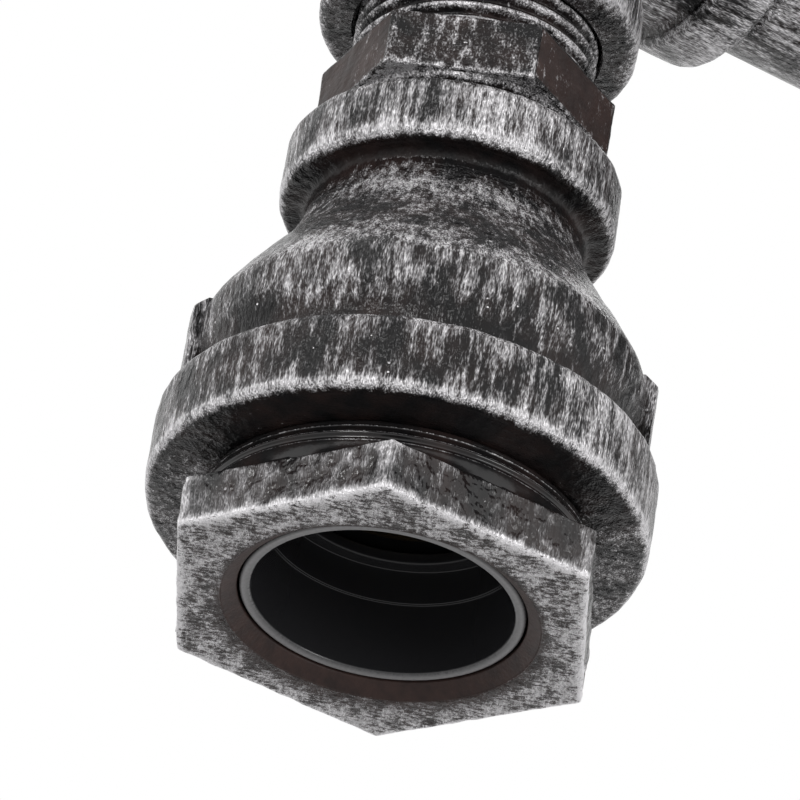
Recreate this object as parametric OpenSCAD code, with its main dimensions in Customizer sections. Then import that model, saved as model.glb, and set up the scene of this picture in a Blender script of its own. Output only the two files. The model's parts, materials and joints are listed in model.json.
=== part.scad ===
// Pipe wall light: a screw lampholder hung in cast pipe fittings below a wall flange.
// Millimetres. The wall is the plane y = 0 and the light stands out along -Y.
// The elbow's two axes cross at z = 0, and the lamp axis hangs down from there.

/* [Wall flange] */
// Outside diameter of the flange plate
flange_d = 98; // [88:1:120]
// Thickness of the plate at its rim
flange_plate_t = 6; // [4:0.5:9]
// Height of the flange from the wall to the hub's end
flange_h = 24; // [20:0.5:34]
// Wall of the hub round its thread
flange_hub_wall = 5.85; // [4:0.05:8]
// Fillet between plate and hub
flange_fillet = 5; // [2:0.5:7]
// Diameter of the screw holes
flange_hole_d = 6.5; // [4:0.1:8]
// Pitch circle of the screw holes
flange_hole_pcd = 74; // [68:0.5:80]
// Number of screw holes
flange_holes = 4; // [3:1:6]
// Diameter of the cable way behind the thread
flange_way_d = 28; // [22:0.5:30]
// Length of thread that takes the pipe nipple
flange_engagement = 15.5; // [12:0.5:18]

/* [Pipe nipple] */
// Outside diameter of the pipe
pipe_d = 33.7; // [33.4:0.1:35]
// Wall of the pipe
pipe_wall = 3.2; // [2.6:0.1:4]
// How far the thread's crests lie below the pipe's surface
thread_relief = 0.25; // [0.1:0.05:0.5]
// Overall length of the wall nipple
wall_nipple_l = 80; // [60:1:200]
// Thread left in view beside each fitting
thread_shown = 2.5; // [1:0.1:5]
// Chamfer at the start of each thread
thread_chamfer = 1.2; // [0.5:0.1:2]
// Radial clearance of a made-up thread
thread_fit = 0.05; // [0.02:0.01:0.09]
// Length of thread inside the elbow
elbow_engagement = 13.5; // [10:0.5:15]
// Free space between a nipple's end and the floor of its thread
thread_end_gap = 0.5; // [0.3:0.1:1]

/* [Elbow] */
// Distance from the crossing of the axes to each end
elbow_reach = 39; // [36:0.5:46]
// Radius of the bend's centre line
elbow_bend_r = 24; // [21:0.5:24]
// Wall of the body round its thread
elbow_wall = 2.55; // [2:0.05:4]
// How far the beaded end bands stand out of the body
elbow_band_proud = 2.5; // [2:0.1:5]
// Width of the end bands
elbow_band_w = 8.6; // [7:0.2:11]
// Diameter of the way through the bend
elbow_way_d = 29; // [26:0.5:30]
// How much wider each arm is than the bend
elbow_swell = 0.3; // [0.1:0.1:0.8]
// How far each arm runs on into the bend
elbow_overlap = 1; // [0.5:0.1:2]

/* [Hex nipple] */
// Width across the flats
nipple_flats = 34.6; // [34:0.2:40]
// Thickness of the hexagon
nipple_hex_t = 8.6; // [6:0.2:12]
// Thread in view above the hexagon
nipple_top_shown = 7.6; // [2:0.2:10]
// Thread in view below the hexagon
nipple_low_shown = 4.8; // [2:0.2:8]
// Bore of the nipple
nipple_bore_d = 25; // [24:0.5:28]
// Chamfer on the hexagon's corners
nipple_hex_chamfer = 1.1; // [0.4:0.1:1.6]
// Direction of one corner, counted from +X
nipple_corner_angle = -4; // [-60:1:60]

/* [Reducing socket] */
// Overall length
socket_l = 57; // [55:0.5:66]
// How far the large band stands out of the bell
big_band_proud = 4.4; // [3:0.1:7]
// Width of the large band
big_band_w = 12; // [9:0.5:14]
// Outside diameter of the bell body
bell_d = 58.2; // [57:0.2:62]
// Height of the shoulder above the large end
bell_h = 29; // [27:0.5:32]
// Radius of the shoulder
shoulder_r = 5; // [2:0.5:7]
// Wall of the neck round its thread
neck_wall = 2.55; // [2:0.05:4]
// How far the small band stands out of the neck
small_band_proud = 3.4; // [2.8:0.1:5]
// Width of the small band
small_band_w = 9.6; // [7:0.2:11]
// Wall of the casting
casting_wall = 4; // [3:0.2:4.6]
// Depth of the small thread
small_thread_depth = 13.1; // [12:0.1:16]
// Clear diameter of the ledge below the small thread
ledge_d = 27; // [24:0.5:29]
// Depth of the large thread
big_thread_depth = 15.5; // [14.5:0.5:20]
// Rounding of the band edges
band_round = 1.6; // [0.6:0.1:2.2]
// Fillet beside the bands
band_fillet = 1.2; // [0.4:0.1:1.6]
// Width of each rib
rib_w = 8; // [5:0.5:12]
// How far each rib stands out of the bell
rib_proud = 2.1; // [1:0.1:3]
// Direction of the first rib, counted from +X
rib_angle = 62; // [0:1:180]

/* [Hex bushing] */
// Width across the flats
bushing_flats = 54; // [53:0.2:60]
// Thickness of the hexagon
bushing_hex_t = 7.8; // [6:0.2:12]
// How much of each corner is blunted
bushing_corner_cut = 0.48; // [0.1:0.02:2]
// Direction of one corner, counted from +X
bushing_corner_angle = -32; // [-60:1:60]
// Step from the large thread out to the round collar
collar_step = 2.6; // [1.5:0.1:2.6]
// Length of the collar
collar_l = 5.8; // [3:0.2:9]
// Wall between the bore and the large thread
bushing_wall = 3.1; // [2.4:0.1:3.6]
// Length of the large thread
big_thread_l = 14; // [12:0.5:14]
// Room between the lampholder and the bushing's bore
bushing_gap = 1.8; // [0.8:0.1:2.4]
// Chamfer at the mouth
mouth_chamfer = 0.5; // [0.2:0.1:1]

/* [Lampholder] */
// Room between the shell's flange and the skirt
shell_room_gap = 1.1; // [0.5:0.1:1.4]
// Depth of the rim behind the bushing's face
rim_recess = 1.7; // [0.5:0.1:3]
// Wall of the skirt at its rim
skirt_wall = 1.55; // [1.2:0.05:2]
// Depth of the fine step behind the rim
skirt_step_depth = 10.9; // [6:0.1:12]
// Radial size of the fine step
skirt_step = 0.4; // [0.2:0.05:0.8]
// How much wider the lip's opening is than the shell's bore, on each side
lip_clear = 1.6; // [0.8:0.1:2.4]
// Thickness of the lip
lip_t = 1.8; // [1:0.1:3]
// Gap between the lip and the shell
lip_gap = 1; // [0.5:0.1:2]
// Wall of the skirt round the insulator
seat_wall = 1.65; // [1.4:0.05:2]
// Width of the ledge that carries the insulator
seat_ledge_w = 0.75; // [0.5:0.05:1.2]
// Clearance between plastic pieces
holder_fit = 0.1; // [0.05:0.01:0.2]
// Length of the cap's spigot in the skirt
spigot_l = 3; // [2:0.1:4]
// Height of the cap above the skirt
cap_h = 9.9; // [9:0.1:11]
// Wall of the cap
cap_wall = 1.8; // [1.4:0.1:2.2]
// Wall of the cap's spigot
spigot_wall = 1.3; // [1:0.1:1.4]
// Straight height of the cap below its dome
cap_rim_h = 1.5; // [0.8:0.1:2.5]
// Straight height of the room inside the cap
cap_room_h = 3; // [2.4:0.1:4]
// Thickness of the cap's roof
cap_roof_t = 2.6; // [2.4:0.1:3]
// Thickness of the insulator's flange
insulator_flange_t = 2.5; // [2:0.1:3.5]
// Height of the insulator above its flange
insulator_rise = 4; // [3:0.1:4.4]
// Room between the insulator's upper part and the cap's spigot
rise_gap = 1.25; // [0.8:0.05:1.6]

/* [Screw shell] */
// Inside diameter of the shell
shell_d = 26.8; // [26.4:0.1:27.4]
// Sheet thickness of the shell
shell_t = 0.45; // [0.3:0.05:0.6]
// Length of the straight wall
shell_wall_l = 15; // [12:0.5:16]
// Height of the flare between wall and flange
shell_flare_h = 2.5; // [2:0.1:4]
// How far the shell's flange stands out of its bore
shell_flange_out = 2.1; // [1.8:0.1:2.6]
// Width of the flange outside the flare
shell_flange_w = 1.5; // [1:0.1:2]
// Width of the flange turned in over the lamp's end
shell_turn_in = 1.5; // [1:0.1:2]
// Rivet shank diameter
rivet_d = 1.6; // [1:0.1:2]
// Rivet head diameter
rivet_head_d = 2.6; // [2:0.1:3.2]
// Rivet head height
rivet_head_t = 0.7; // [0.4:0.1:1]

/* [Contacts] */
// Diameter of the plunger
plunger_d = 4.4; // [3.6:0.1:5]
// Diameter of the plunger's head
plunger_head_d = 6; // [5.6:0.1:6.4]
// Thickness of the plunger's head
plunger_head_t = 1; // [0.8:0.1:1.4]
// How far the plunger stands out of the insulator
plunger_proud = 1.8; // [1.6:0.1:2.4]
// Radial running clearance of the plunger
plunger_fit = 0.05; // [0.02:0.01:0.09]
// Rounding of the plunger's tip
plunger_round = 0.8; // [0.4:0.1:1.4]
// Wall in front of the plunger's head
plunger_front_t = 1.5; // [1.2:0.1:2]
// Wire of the contact spring
spring_wire_d = 0.45; // [0.3:0.05:0.6]
// Mean diameter of the contact spring
spring_d = 4.4; // [3.6:0.1:4.8]
// Turns of the contact spring
spring_turns = 4; // [3:1:5]
// Clearance at each end of the spring
spring_end_gap = 0.05; // [0.02:0.01:0.1]
// Terminal block along the radius
block_l = 4.5; // [4:0.1:4.8]
// Terminal block across the radius
block_w = 6; // [5:0.1:6.5]
// Height of a terminal block
block_h = 4.5; // [4:0.1:4.8]
// How far a block's outer face lies inside the shell's bore
block_setback = 0.4; // [0.1:0.1:0.7]
// Wall behind the lead's hole in a block
block_end_wall = 1; // [0.6:0.1:1.4]
// Thickness of the terminal strips
strip_t = 0.8; // [0.5:0.1:1]
// Width of the terminal strips
strip_w = 5; // [4:0.1:5.5]
// Overlap of the live strip past the spring's bore
strip_overlap = 0.5; // [0.3:0.1:1.5]
// Terminal screw shank diameter
terminal_screw_d = 2.5; // [2:0.1:2.6]
// Terminal screw head diameter
terminal_head_d = 3.8; // [3:0.1:4]
// Terminal screw head thickness
terminal_head_t = 1.2; // [0.8:0.1:1.4]
// Gap between a terminal screw's tip and its lead
screw_tip_gap = 0.25; // [0.1:0.05:0.5]
// Width of the slot in a terminal screw
screw_slot_w = 0.6; // [0.4:0.1:0.8]
// Clearance of small screws in their holes
screw_fit = 0.05; // [0.02:0.01:0.1]

/* [Suspension] */
// Outside diameter of the threaded tube
tube_d = 10; // [9.5:0.1:10.5]
// Bore of the threaded tube
tube_bore_d = 7.4; // [6.6:0.1:7.8]
// Height of the cap's threaded boss
boss_h = 4.2; // [3.6:0.1:4.6]
// Diameter of the boss inside the cap
boss_d = 15.2; // [14.4:0.1:16]
// Tube standing above the upper nut
tube_proud = 2.7; // [1:0.1:6]
// Thickness of the support washer
washer_t = 2; // [1.5:0.1:3]
// Radial clearance of the washer in the small thread
washer_fit = 0.2; // [0.1:0.05:0.4]
// Width across the flats of the nuts
nut_flats = 14; // [13.6:0.1:14.4]
// Thickness of the nuts
nut_t = 3; // [2.4:0.1:3.4]
// Chamfer on the nuts' corners
nut_chamfer = 0.5; // [0.2:0.1:0.8]
// Clearance of the cap to the nut above it and to the cone round it
cap_gap = 0.5; // [0.3:0.05:1]
// Thickness of the earth tag
tag_t = 0.8; // [0.6:0.1:1]
// Ring diameter of the earth tag
tag_ring_d = 14.6; // [14:0.1:15.4]
// Width of the tag's tail
tag_tail_w = 4; // [3.4:0.1:5]
// Distance of the tag's barrel from the lamp axis
tag_barrel_at = 9.6; // [9.4:0.1:9.8]
// Outside diameter of the tag's barrel
tag_barrel_d = 3.8; // [3.6:0.1:4.2]
// Height of the tag's barrel
tag_barrel_h = 5.5; // [4:0.1:8]
// Flange thickness of the tube bush
bush_flange_t = 1.5; // [1:0.1:2]
// Flange diameter of the tube bush
bush_flange_d = 11.4; // [11:0.1:13]
// Spigot length of the tube bush
bush_spigot_l = 3; // [2:0.1:5]
// Bore of the tube bush
bush_bore_d = 5.8; // [5.4:0.1:6]
// Grub screw diameter
grub_d = 2; // [1.6:0.1:2.2]
// Grub screw length
grub_l = 4; // [3:0.1:6]

/* [Leads] */
// Outside diameter of each lead
lead_d = 2.2; // [1.6:0.1:2.3]
// Half the distance between the live and neutral leads
lead_half_gap = 1.3; // [1.25:0.05:1.5]
// Distance of the earth lead from the bend's centre line
earth_offset = 5; // [4:0.1:7]
// Distance of the leads' ends from the flange's cable way
lead_end_gap = 1; // [0.5:0.1:3]

/* [Hidden] */
$fn = 96;
eps = 0.01;
iron = [0.22, 0.22, 0.23];
plastic = [0.06, 0.06, 0.065];
brass = [0.72, 0.58, 0.30];
steel = [0.62, 0.62, 0.64];

// Places along the wall axis
way_l = flange_h - flange_engagement;
wall_end_y = -way_l - thread_end_gap;
elbow_end_y = wall_end_y - wall_nipple_l + elbow_engagement;
lamp_y = elbow_end_y - elbow_reach;

// Radii of the pipe and of the small fittings
pipe_r = pipe_d / 2;
pipe_thread_r = pipe_r - thread_relief;
thread_bore_r = pipe_thread_r + thread_fit;
elbow_r = thread_bore_r + elbow_wall;
neck_r = thread_bore_r + neck_wall;

// Radii of the lampholder's pieces and of the bushing, from the shell outwards
shell_flange_r = shell_d / 2 + shell_flange_out;
shell_room_r = shell_flange_r + shell_room_gap;
lip_r = shell_d / 2 + lip_clear;
seat_r = shell_room_r + seat_ledge_w;
flange_r = seat_r - holder_fit;
spigot_in_r = flange_r - spigot_wall;
holder_r = seat_r + seat_wall;
rim_in_r = holder_r - skirt_wall;
skirt_in_r = rim_in_r - skirt_step;
bushing_bore_r = holder_r + bushing_gap;
big_thread_r = bushing_bore_r + bushing_wall;
collar_r = big_thread_r + collar_step;

// Cone of the reducing socket, in heights above its large end
bell_r = bell_d / 2;
bell_in_r = bell_r - casting_wall;
cone_top_h = socket_l - small_band_w - band_fillet;
cone_slope = atan((bell_r - neck_r) / (cone_top_h - bell_h));
cone_in_h = bell_h - casting_wall * tan(cone_slope / 2);
ledge_h = socket_l - small_thread_depth;
ledge_low_h = ledge_h - casting_wall / 2;
cone_fall = (bell_in_r - ledge_d / 2) / (ledge_low_h - cone_in_h);

// Dome of the cap, and the highest foot at which it clears the cone
dome_h = cap_h - cap_rim_h;
dome_top_r = boss_d / 2 + cap_wall;
dome_reach = norm([holder_r - dome_top_r, cone_fall * dome_h]) + cap_gap * norm([1, cone_fall]);
dome_foot_h = cone_in_h + (bell_in_r - dome_top_r - dome_reach) / cone_fall;

// Heights down the lamp axis
elbow_end_z = -elbow_reach;
nipple_hex_top = elbow_end_z - nipple_top_shown;
nipple_hex_low = nipple_hex_top - nipple_hex_t;
socket_top = nipple_hex_low - nipple_low_shown;
socket_low = socket_top - socket_l;
collar_low = socket_low - collar_l;
face_z = collar_low - bushing_hex_t;
ledge_z = socket_top - small_thread_depth;
washer_top = ledge_z + washer_t;
tag_top = washer_top + tag_t;
upper_nut_top = tag_top + nut_t;
cap_top = min(ledge_z - nut_t - cap_gap, socket_low + dome_foot_h + dome_h);
cap_joint = cap_top - cap_h;
insulator_flange_top = cap_joint - spigot_l;
insulator_front = insulator_flange_top - insulator_flange_t;
insulator_top = insulator_flange_top + insulator_rise;
shell_flange_low = insulator_front - shell_t;
shell_wall_top = shell_flange_low - shell_flare_h;
shell_low = shell_wall_top - shell_wall_l;
lip_top = shell_low - lip_gap;
lip_low = lip_top - lip_t;
rim_z = face_z + rim_recess;
tube_low = cap_top - boss_h;
tube_top = upper_nut_top + tube_proud;
grub_z = cap_top - cap_roof_t / 2;
lead_z = insulator_top + block_h / 2;

// Distances from the lamp axis
leg_at = shell_d / 2 - strip_t;
rivet_at = (shell_d / 2 + shell_flange_r) / 2;
block_in = shell_d / 2 - block_setback - block_l;
screw_at = block_in + block_l / 2;

// Points of the leads: from a block's inner face, from the tube's line, and from the tag's barrel, where the
// first number counts in steps from the barrel to the bend
block_climb = [[1, 0], [-1.5, 0], [-3.5, 0.3]];
tube_climb = [[1.6, 1.4], [0.3, 2.9]];
earth_climb = [[0, -5], [0, 2], [0.2, 6], [0.8, 11], [1, 15]];

// Points of an arc, with its centre, radius and two angles
function arc(centre, r, from, to, steps = 6) =
    [for (i = [0:steps]) let (a = from + (to - from) * i / steps) centre + r * [cos(a), sin(a)]];

// Points of a quarter ellipse from its widest point up to its top
function quarter(centre, half_w, half_h, steps = 8) =
    [for (i = [0:steps]) centre + [half_w * cos(90 * i / steps), half_h * sin(90 * i / steps)]];

// A swept tube is built from rings that are carried along its points
function unit(v) = v / norm(v);
function tangent(p, i) = unit(p[min(i + 1, len(p) - 1)] - p[max(i - 1, 0)]);
function carried(u, t) = unit(u - t * (u * t));
function sides(p, start, i = 0, done = []) =
    i == len(p) ? done
    : let (u = carried(i == 0 ? start : done[i - 1], tangent(p, i)))
      sides(p, start, i + 1, concat(done, [u]));

module swept_tube(points, d, start, facets) {
    u = sides(points, start);
    rings = [for (i = [0:len(points) - 1], k = [0:facets - 1])
        let (a = 360 * k / facets, w = cross(tangent(points, i), u[i]))
        points[i] + d / 2 * (cos(a) * u[i] + sin(a) * w)];
    last = (len(points) - 1) * facets;
    walls = [for (i = [0:len(points) - 2], k = [0:facets - 1])
        let (a = i * facets + k, b = i * facets + (k + 1) % facets)
        each [[a, b + facets, b], [a, a + facets, b + facets]]];
    first_cap = [for (k = [1:facets - 2]) [0, k, k + 1]];
    last_cap = [for (k = [1:facets - 2]) [last, last + k + 1, last + k]];
    polyhedron(rings, concat(walls, first_cap, last_cap));
}

// Moves a piece drawn about Z onto the lamp axis
module on_lamp_axis(z = 0) translate([0, lamp_y, z]) children();

// Turns a piece drawn about Z, from the wall up, to stand out of the wall
module on_wall_axis(y = 0) translate([0, y, 0]) rotate([90, 0, 0]) children();

// A ring with a plain bore
module ring(r, bore_r, h) {
    difference() {
        cylinder(r = r, h = h);
        translate([0, 0, -eps]) cylinder(r = bore_r, h = h + 2 * eps);
    }
}

// Solid of revolution of a beaded pipe end, from its end face upwards
module banded_end(band_r, band_w, body_r, length) {
    rotate_extrude() polygon(concat(
        [[0, 0]],
        arc([band_r - band_round, band_round], band_round, -90, 0),
        arc([band_r - band_round, band_w - band_round], band_round, 0, 90),
        arc([body_r + band_fillet, band_w + band_fillet], band_fillet, 270, 180),
        [[body_r, length], [0, length]]
    ));
}

// Threaded stretch with a chamfered start at its top
module male_thread(r, length) {
    cylinder(r = r, h = length - thread_chamfer);
    translate([0, 0, length - thread_chamfer]) cylinder(r1 = r, r2 = r - thread_chamfer, h = thread_chamfer);
}

// Hexagon with corners cut by a cone at both ends
module hexagon(flats, t, chamfer) {
    corner_r = flats / sqrt(3);
    intersection() {
        cylinder(r = corner_r, h = t, $fn = 6);
        rotate_extrude() polygon([
            [0, 0], [corner_r - chamfer, 0], [corner_r + chamfer, 2 * chamfer / sqrt(3)],
            [corner_r + chamfer, t - 2 * chamfer / sqrt(3)], [corner_r - chamfer, t], [0, t]
        ]);
    }
}

module wall_flange() color(iron) on_wall_axis() {
    hub_r = thread_bore_r + flange_hub_wall;
    difference() {
        rotate_extrude() polygon(concat(
            [[0, 0]],
            [[flange_d / 2, 0]],
            arc([flange_d / 2 - band_round, flange_plate_t - band_round], band_round, 0, 90),
            arc([hub_r + flange_fillet, flange_plate_t + flange_fillet], flange_fillet, 270, 180),
            arc([hub_r - band_round, flange_h - band_round], band_round, 0, 90),
            [[0, flange_h]]
        ));
        translate([0, 0, -eps]) cylinder(d = flange_way_d, h = flange_h);
        translate([0, 0, way_l]) cylinder(r = thread_bore_r, h = flange_h);
        for (i = [0:flange_holes - 1]) rotate(45 + 360 * i / flange_holes)
            translate([flange_hole_pcd / 2, 0, -eps]) cylinder(d = flange_hole_d, h = flange_h);
    }
}

module wall_nipple() color(iron) on_wall_axis(wall_end_y) {
    wall_thread_l = flange_engagement - thread_end_gap + thread_shown;
    front_thread_l = elbow_engagement + thread_shown;
    difference() {
        union() {
            translate([0, 0, wall_thread_l]) mirror([0, 0, 1]) male_thread(pipe_thread_r, wall_thread_l);
            translate([0, 0, wall_thread_l])
                cylinder(r = pipe_r, h = wall_nipple_l - wall_thread_l - front_thread_l);
            translate([0, 0, wall_nipple_l - front_thread_l]) male_thread(pipe_thread_r, front_thread_l);
        }
        translate([0, 0, -eps]) cylinder(r = pipe_r - pipe_wall, h = wall_nipple_l + 2 * eps);
    }
}

// One arm of the elbow, from its end face into the bend
module elbow_arm() {
    arm_r = elbow_r + elbow_swell;
    banded_end(elbow_r + elbow_band_proud, elbow_band_w, arm_r, elbow_reach - elbow_bend_r + elbow_overlap);
}

module elbow_arm_way() {
    translate([0, 0, -eps]) cylinder(r = thread_bore_r, h = elbow_engagement + thread_end_gap + eps);
    cylinder(d = elbow_way_d + 2 * elbow_swell, h = elbow_reach - elbow_bend_r + elbow_overlap);
}

// Quarter turn from the lamp axis to the wall axis
module elbow_bend(d) {
    translate([0, lamp_y + elbow_bend_r, -elbow_bend_r]) rotate([90, 0, -90])
        rotate_extrude(angle = 90) translate([elbow_bend_r, 0]) circle(d = d);
}

module elbow() color(iron) difference() {
    union() {
        on_lamp_axis(elbow_end_z) elbow_arm();
        on_wall_axis(elbow_end_y) elbow_arm();
        elbow_bend(2 * elbow_r);
    }
    on_lamp_axis(elbow_end_z) elbow_arm_way();
    on_wall_axis(elbow_end_y) elbow_arm_way();
    elbow_bend(elbow_way_d);
}

module hex_nipple() color(iron) on_lamp_axis() {
    low_end = washer_top + thread_end_gap;
    high_end = elbow_end_z + elbow_engagement;
    difference() {
        union() {
            translate([0, 0, nipple_hex_low]) rotate(nipple_corner_angle)
                hexagon(nipple_flats, nipple_hex_t, nipple_hex_chamfer);
            translate([0, 0, nipple_hex_top]) male_thread(pipe_thread_r, high_end - nipple_hex_top);
            translate([0, 0, nipple_hex_low]) mirror([0, 0, 1])
                male_thread(pipe_thread_r, nipple_hex_low - low_end);
        }
        translate([0, 0, low_end - eps]) cylinder(d = nipple_bore_d, h = high_end - low_end + 2 * eps);
    }
}

// Casting with a beaded large end, a bell with two ribs, a cone and a beaded neck
module reducing_socket() color(iron) on_lamp_axis(socket_low) {
    big_r = bell_r + big_band_proud;
    small_r = neck_r + small_band_proud;
    small_low = socket_l - small_band_w;
    rib_in_r = bell_r - casting_wall / 2;
    rib_low = big_band_w - band_round;
    big_bore_r = big_thread_r + thread_fit;
    shoulder_h = bell_h - shoulder_r * tan(cone_slope / 2);
    difference() {
        union() {
            rotate_extrude() polygon(concat(
                [[0, 0]],
                arc([big_r - band_round, band_round], band_round, -90, 0),
                arc([big_r - band_round, big_band_w - band_round], band_round, 0, 90),
                arc([bell_r + band_fillet, big_band_w + band_fillet], band_fillet, 270, 180),
                arc([bell_r - shoulder_r, shoulder_h], shoulder_r, 0, cone_slope),
                [[neck_r, cone_top_h]],
                arc([neck_r + band_fillet, small_low - band_fillet], band_fillet, 180, 90),
                arc([small_r - band_round, small_low + band_round], band_round, -90, 0),
                arc([small_r - band_round, socket_l - band_round], band_round, 0, 90),
                [[0, socket_l]]
            ));
            for (side = [0, 180]) rotate(rib_angle + side) rotate([90, 0, 0])
                linear_extrude(rib_w, center = true) polygon([
                    [rib_in_r, rib_low], [bell_r + rib_proud, rib_low],
                    [bell_r + rib_proud, bell_h - rib_proud], [rib_in_r, bell_h]
                ]);
        }
        rotate_extrude() polygon([
            [0, -eps], [big_bore_r, -eps], [big_bore_r, big_thread_depth], [bell_in_r, big_thread_depth],
            [bell_in_r, cone_in_h], [ledge_d / 2, ledge_low_h], [ledge_d / 2, ledge_h],
            [thread_bore_r, ledge_h], [thread_bore_r, socket_l + eps], [0, socket_l + eps]
        ]);
    }
}

module hex_bushing() color(iron) on_lamp_axis(face_z) {
    total = bushing_hex_t + collar_l + big_thread_l;
    corner_r = bushing_flats / sqrt(3);
    difference() {
        union() {
            intersection() {
                rotate(bushing_corner_angle)
                    cylinder(r = corner_r, h = bushing_hex_t, $fn = 6);
                cylinder(r = corner_r - bushing_corner_cut, h = bushing_hex_t);
            }
            cylinder(r = collar_r, h = bushing_hex_t + collar_l);
            translate([0, 0, bushing_hex_t + collar_l]) male_thread(big_thread_r, big_thread_l);
        }
        translate([0, 0, -eps]) cylinder(r = bushing_bore_r, h = total + 2 * eps);
        translate([0, 0, -eps])
            cylinder(r1 = bushing_bore_r + mouth_chamfer + eps, r2 = bushing_bore_r, h = mouth_chamfer + eps);
    }
}

// Front tube of the holder, with a fine step, a lip before the shell and a seat for the insulator
module lampholder_skirt() color(plastic) on_lamp_axis() rotate_extrude() {
    rim_round = skirt_wall / 3;
    step_z = rim_z + skirt_step_depth;
    polygon(concat(
        arc([rim_in_r + rim_round, rim_z + rim_round], rim_round, 180, 270, 4),
        arc([holder_r - rim_round, rim_z + rim_round], rim_round, -90, 0, 4),
        [
            [holder_r, cap_joint], [seat_r, cap_joint], [seat_r, insulator_front],
            [shell_room_r, insulator_front], [shell_room_r, lip_top], [lip_r, lip_top],
            [lip_r, lip_low], [skirt_in_r, lip_low], [skirt_in_r, step_z], [rim_in_r, step_z]
        ]
    ));
}

module lampholder_cap() color(plastic) on_lamp_axis() {
    boss_low = cap_top - boss_h;
    dome_low = cap_joint + cap_rim_h;
    room_low = cap_joint + cap_room_h;
    roof = cap_top - cap_roof_t;
    thread_r = tube_d / 2 + screw_fit;
    difference() {
        rotate_extrude() polygon(concat(
            [
                [thread_r, boss_low], [boss_d / 2, boss_low], [boss_d / 2, roof]
            ],
            [for (i = [8:-1:0]) [boss_d / 2 + (spigot_in_r - boss_d / 2) * cos(90 * i / 8),
                                 room_low + (roof - room_low) * sin(90 * i / 8)]],
            [
                [spigot_in_r, insulator_flange_top], [flange_r, insulator_flange_top], [flange_r, cap_joint],
                [holder_r, cap_joint]
            ],
            quarter([dome_top_r, dome_low], holder_r - dome_top_r, dome_h),
            [[thread_r, cap_top]]
        ));
        translate([0, 0, grub_z]) rotate([90, 0, 0])
            cylinder(d = grub_d + 2 * screw_fit, h = holder_r);
    }
}

module lampholder_insulator() color("ivory") on_lamp_axis() difference() {
    union() {
        translate([0, 0, insulator_front]) cylinder(r = flange_r, h = insulator_flange_t);
        translate([0, 0, insulator_flange_top - eps])
            cylinder(r = spigot_in_r - rise_gap, h = insulator_rise + eps);
    }
    translate([0, 0, insulator_front - eps])
        cylinder(d = plunger_d + 2 * plunger_fit, h = plunger_front_t + 2 * eps);
    translate([0, 0, insulator_front + plunger_front_t])
        cylinder(d = plunger_head_d + 2 * plunger_fit, h = insulator_top - insulator_front);
    translate([-leg_at - strip_t - holder_fit, -strip_w / 2 - holder_fit, insulator_front - eps])
        cube([strip_t + 2 * holder_fit, strip_w + 2 * holder_fit, insulator_top - insulator_front + 2 * eps]);
    for (side = [-1, 1]) translate([0, side * rivet_at, insulator_front - eps])
        cylinder(d = rivet_d + 2 * screw_fit, h = insulator_flange_t + 2 * eps);
    for (side = [-1, 1]) translate([0, side * rivet_at, insulator_flange_top])
        cylinder(d = rivet_head_d + 2 * screw_fit, h = insulator_rise + eps);
}

module screw_shell() color(brass) on_lamp_axis() difference() {
    in_r = shell_d / 2;
    out_r = shell_flange_r;
    rotate_extrude() polygon([
        [in_r, shell_low], [in_r + shell_t, shell_low], [in_r + shell_t, shell_wall_top],
        [out_r, shell_flange_low], [out_r, insulator_front], [in_r - shell_turn_in, insulator_front],
        [in_r - shell_turn_in, shell_flange_low], [out_r - shell_flange_w, shell_flange_low],
        [in_r, shell_wall_top]
    ]);
    for (side = [-1, 1]) translate([0, side * rivet_at, shell_wall_top])
        cylinder(d = rivet_d + 2 * screw_fit, h = insulator_front - shell_wall_top + eps);
}

module shell_rivets() color(brass) on_lamp_axis() for (side = [-1, 1]) translate([0, side * rivet_at, 0]) {
    translate([0, 0, shell_flange_low]) cylinder(d = rivet_d, h = insulator_flange_top - shell_flange_low);
    translate([0, 0, insulator_flange_top]) cylinder(d = rivet_head_d, h = rivet_head_t);
}

module contact_plunger() color(brass) on_lamp_axis() {
    tip_r = plunger_d / 2;
    tip_z = insulator_front - plunger_proud;
    head_z = insulator_front + plunger_front_t;
    rotate_extrude() polygon(concat(
        [[0, tip_z]],
        arc([tip_r - plunger_round, tip_z + plunger_round], plunger_round, -90, 0, 4),
        [
            [tip_r, head_z], [plunger_head_d / 2, head_z], [plunger_head_d / 2, head_z + plunger_head_t],
            [0, head_z + plunger_head_t]
        ]
    ));
}

module contact_spring() color(steel) {
    low = insulator_front + plunger_front_t + plunger_head_t + spring_wire_d / 2 + spring_end_gap;
    high = insulator_top - spring_wire_d / 2 - spring_end_gap;
    steps = spring_turns * 8;
    points = [for (i = [0:steps]) [spring_d / 2 * cos(45 * i), lamp_y + spring_d / 2 * sin(45 * i),
                                   low + (high - low) * i / steps]];
    swept_tube(points, spring_wire_d, [1, 0, 0], 6);
}

// Terminal block on one side of the insulator, with holes for its lead and its screw
module terminal_block() difference() {
    translate([block_in, -block_w / 2, insulator_top]) cube([block_l, block_w, block_h]);
    translate([block_in - eps, 0, lead_z]) rotate([0, 90, 0])
        cylinder(d = lead_d + 2 * screw_fit, h = block_l - block_end_wall);
    translate([screw_at, 0, lead_z]) rotate([-90, 0, 0])
        cylinder(d = terminal_screw_d + 2 * screw_fit, h = block_w);
}

module live_terminal() color(brass) on_lamp_axis() {
    terminal_block();
    strip_end = plunger_head_d / 2 + plunger_fit + strip_overlap;
    translate([-strip_end, -strip_w / 2, insulator_top]) cube([block_in + strip_end + eps, strip_w, strip_t]);
}

module neutral_terminal() color(brass) on_lamp_axis() rotate(180) {
    terminal_block();
    translate([leg_at, -strip_w / 2, insulator_front])
        cube([strip_t, strip_w, lead_z - insulator_front]);
}

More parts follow.
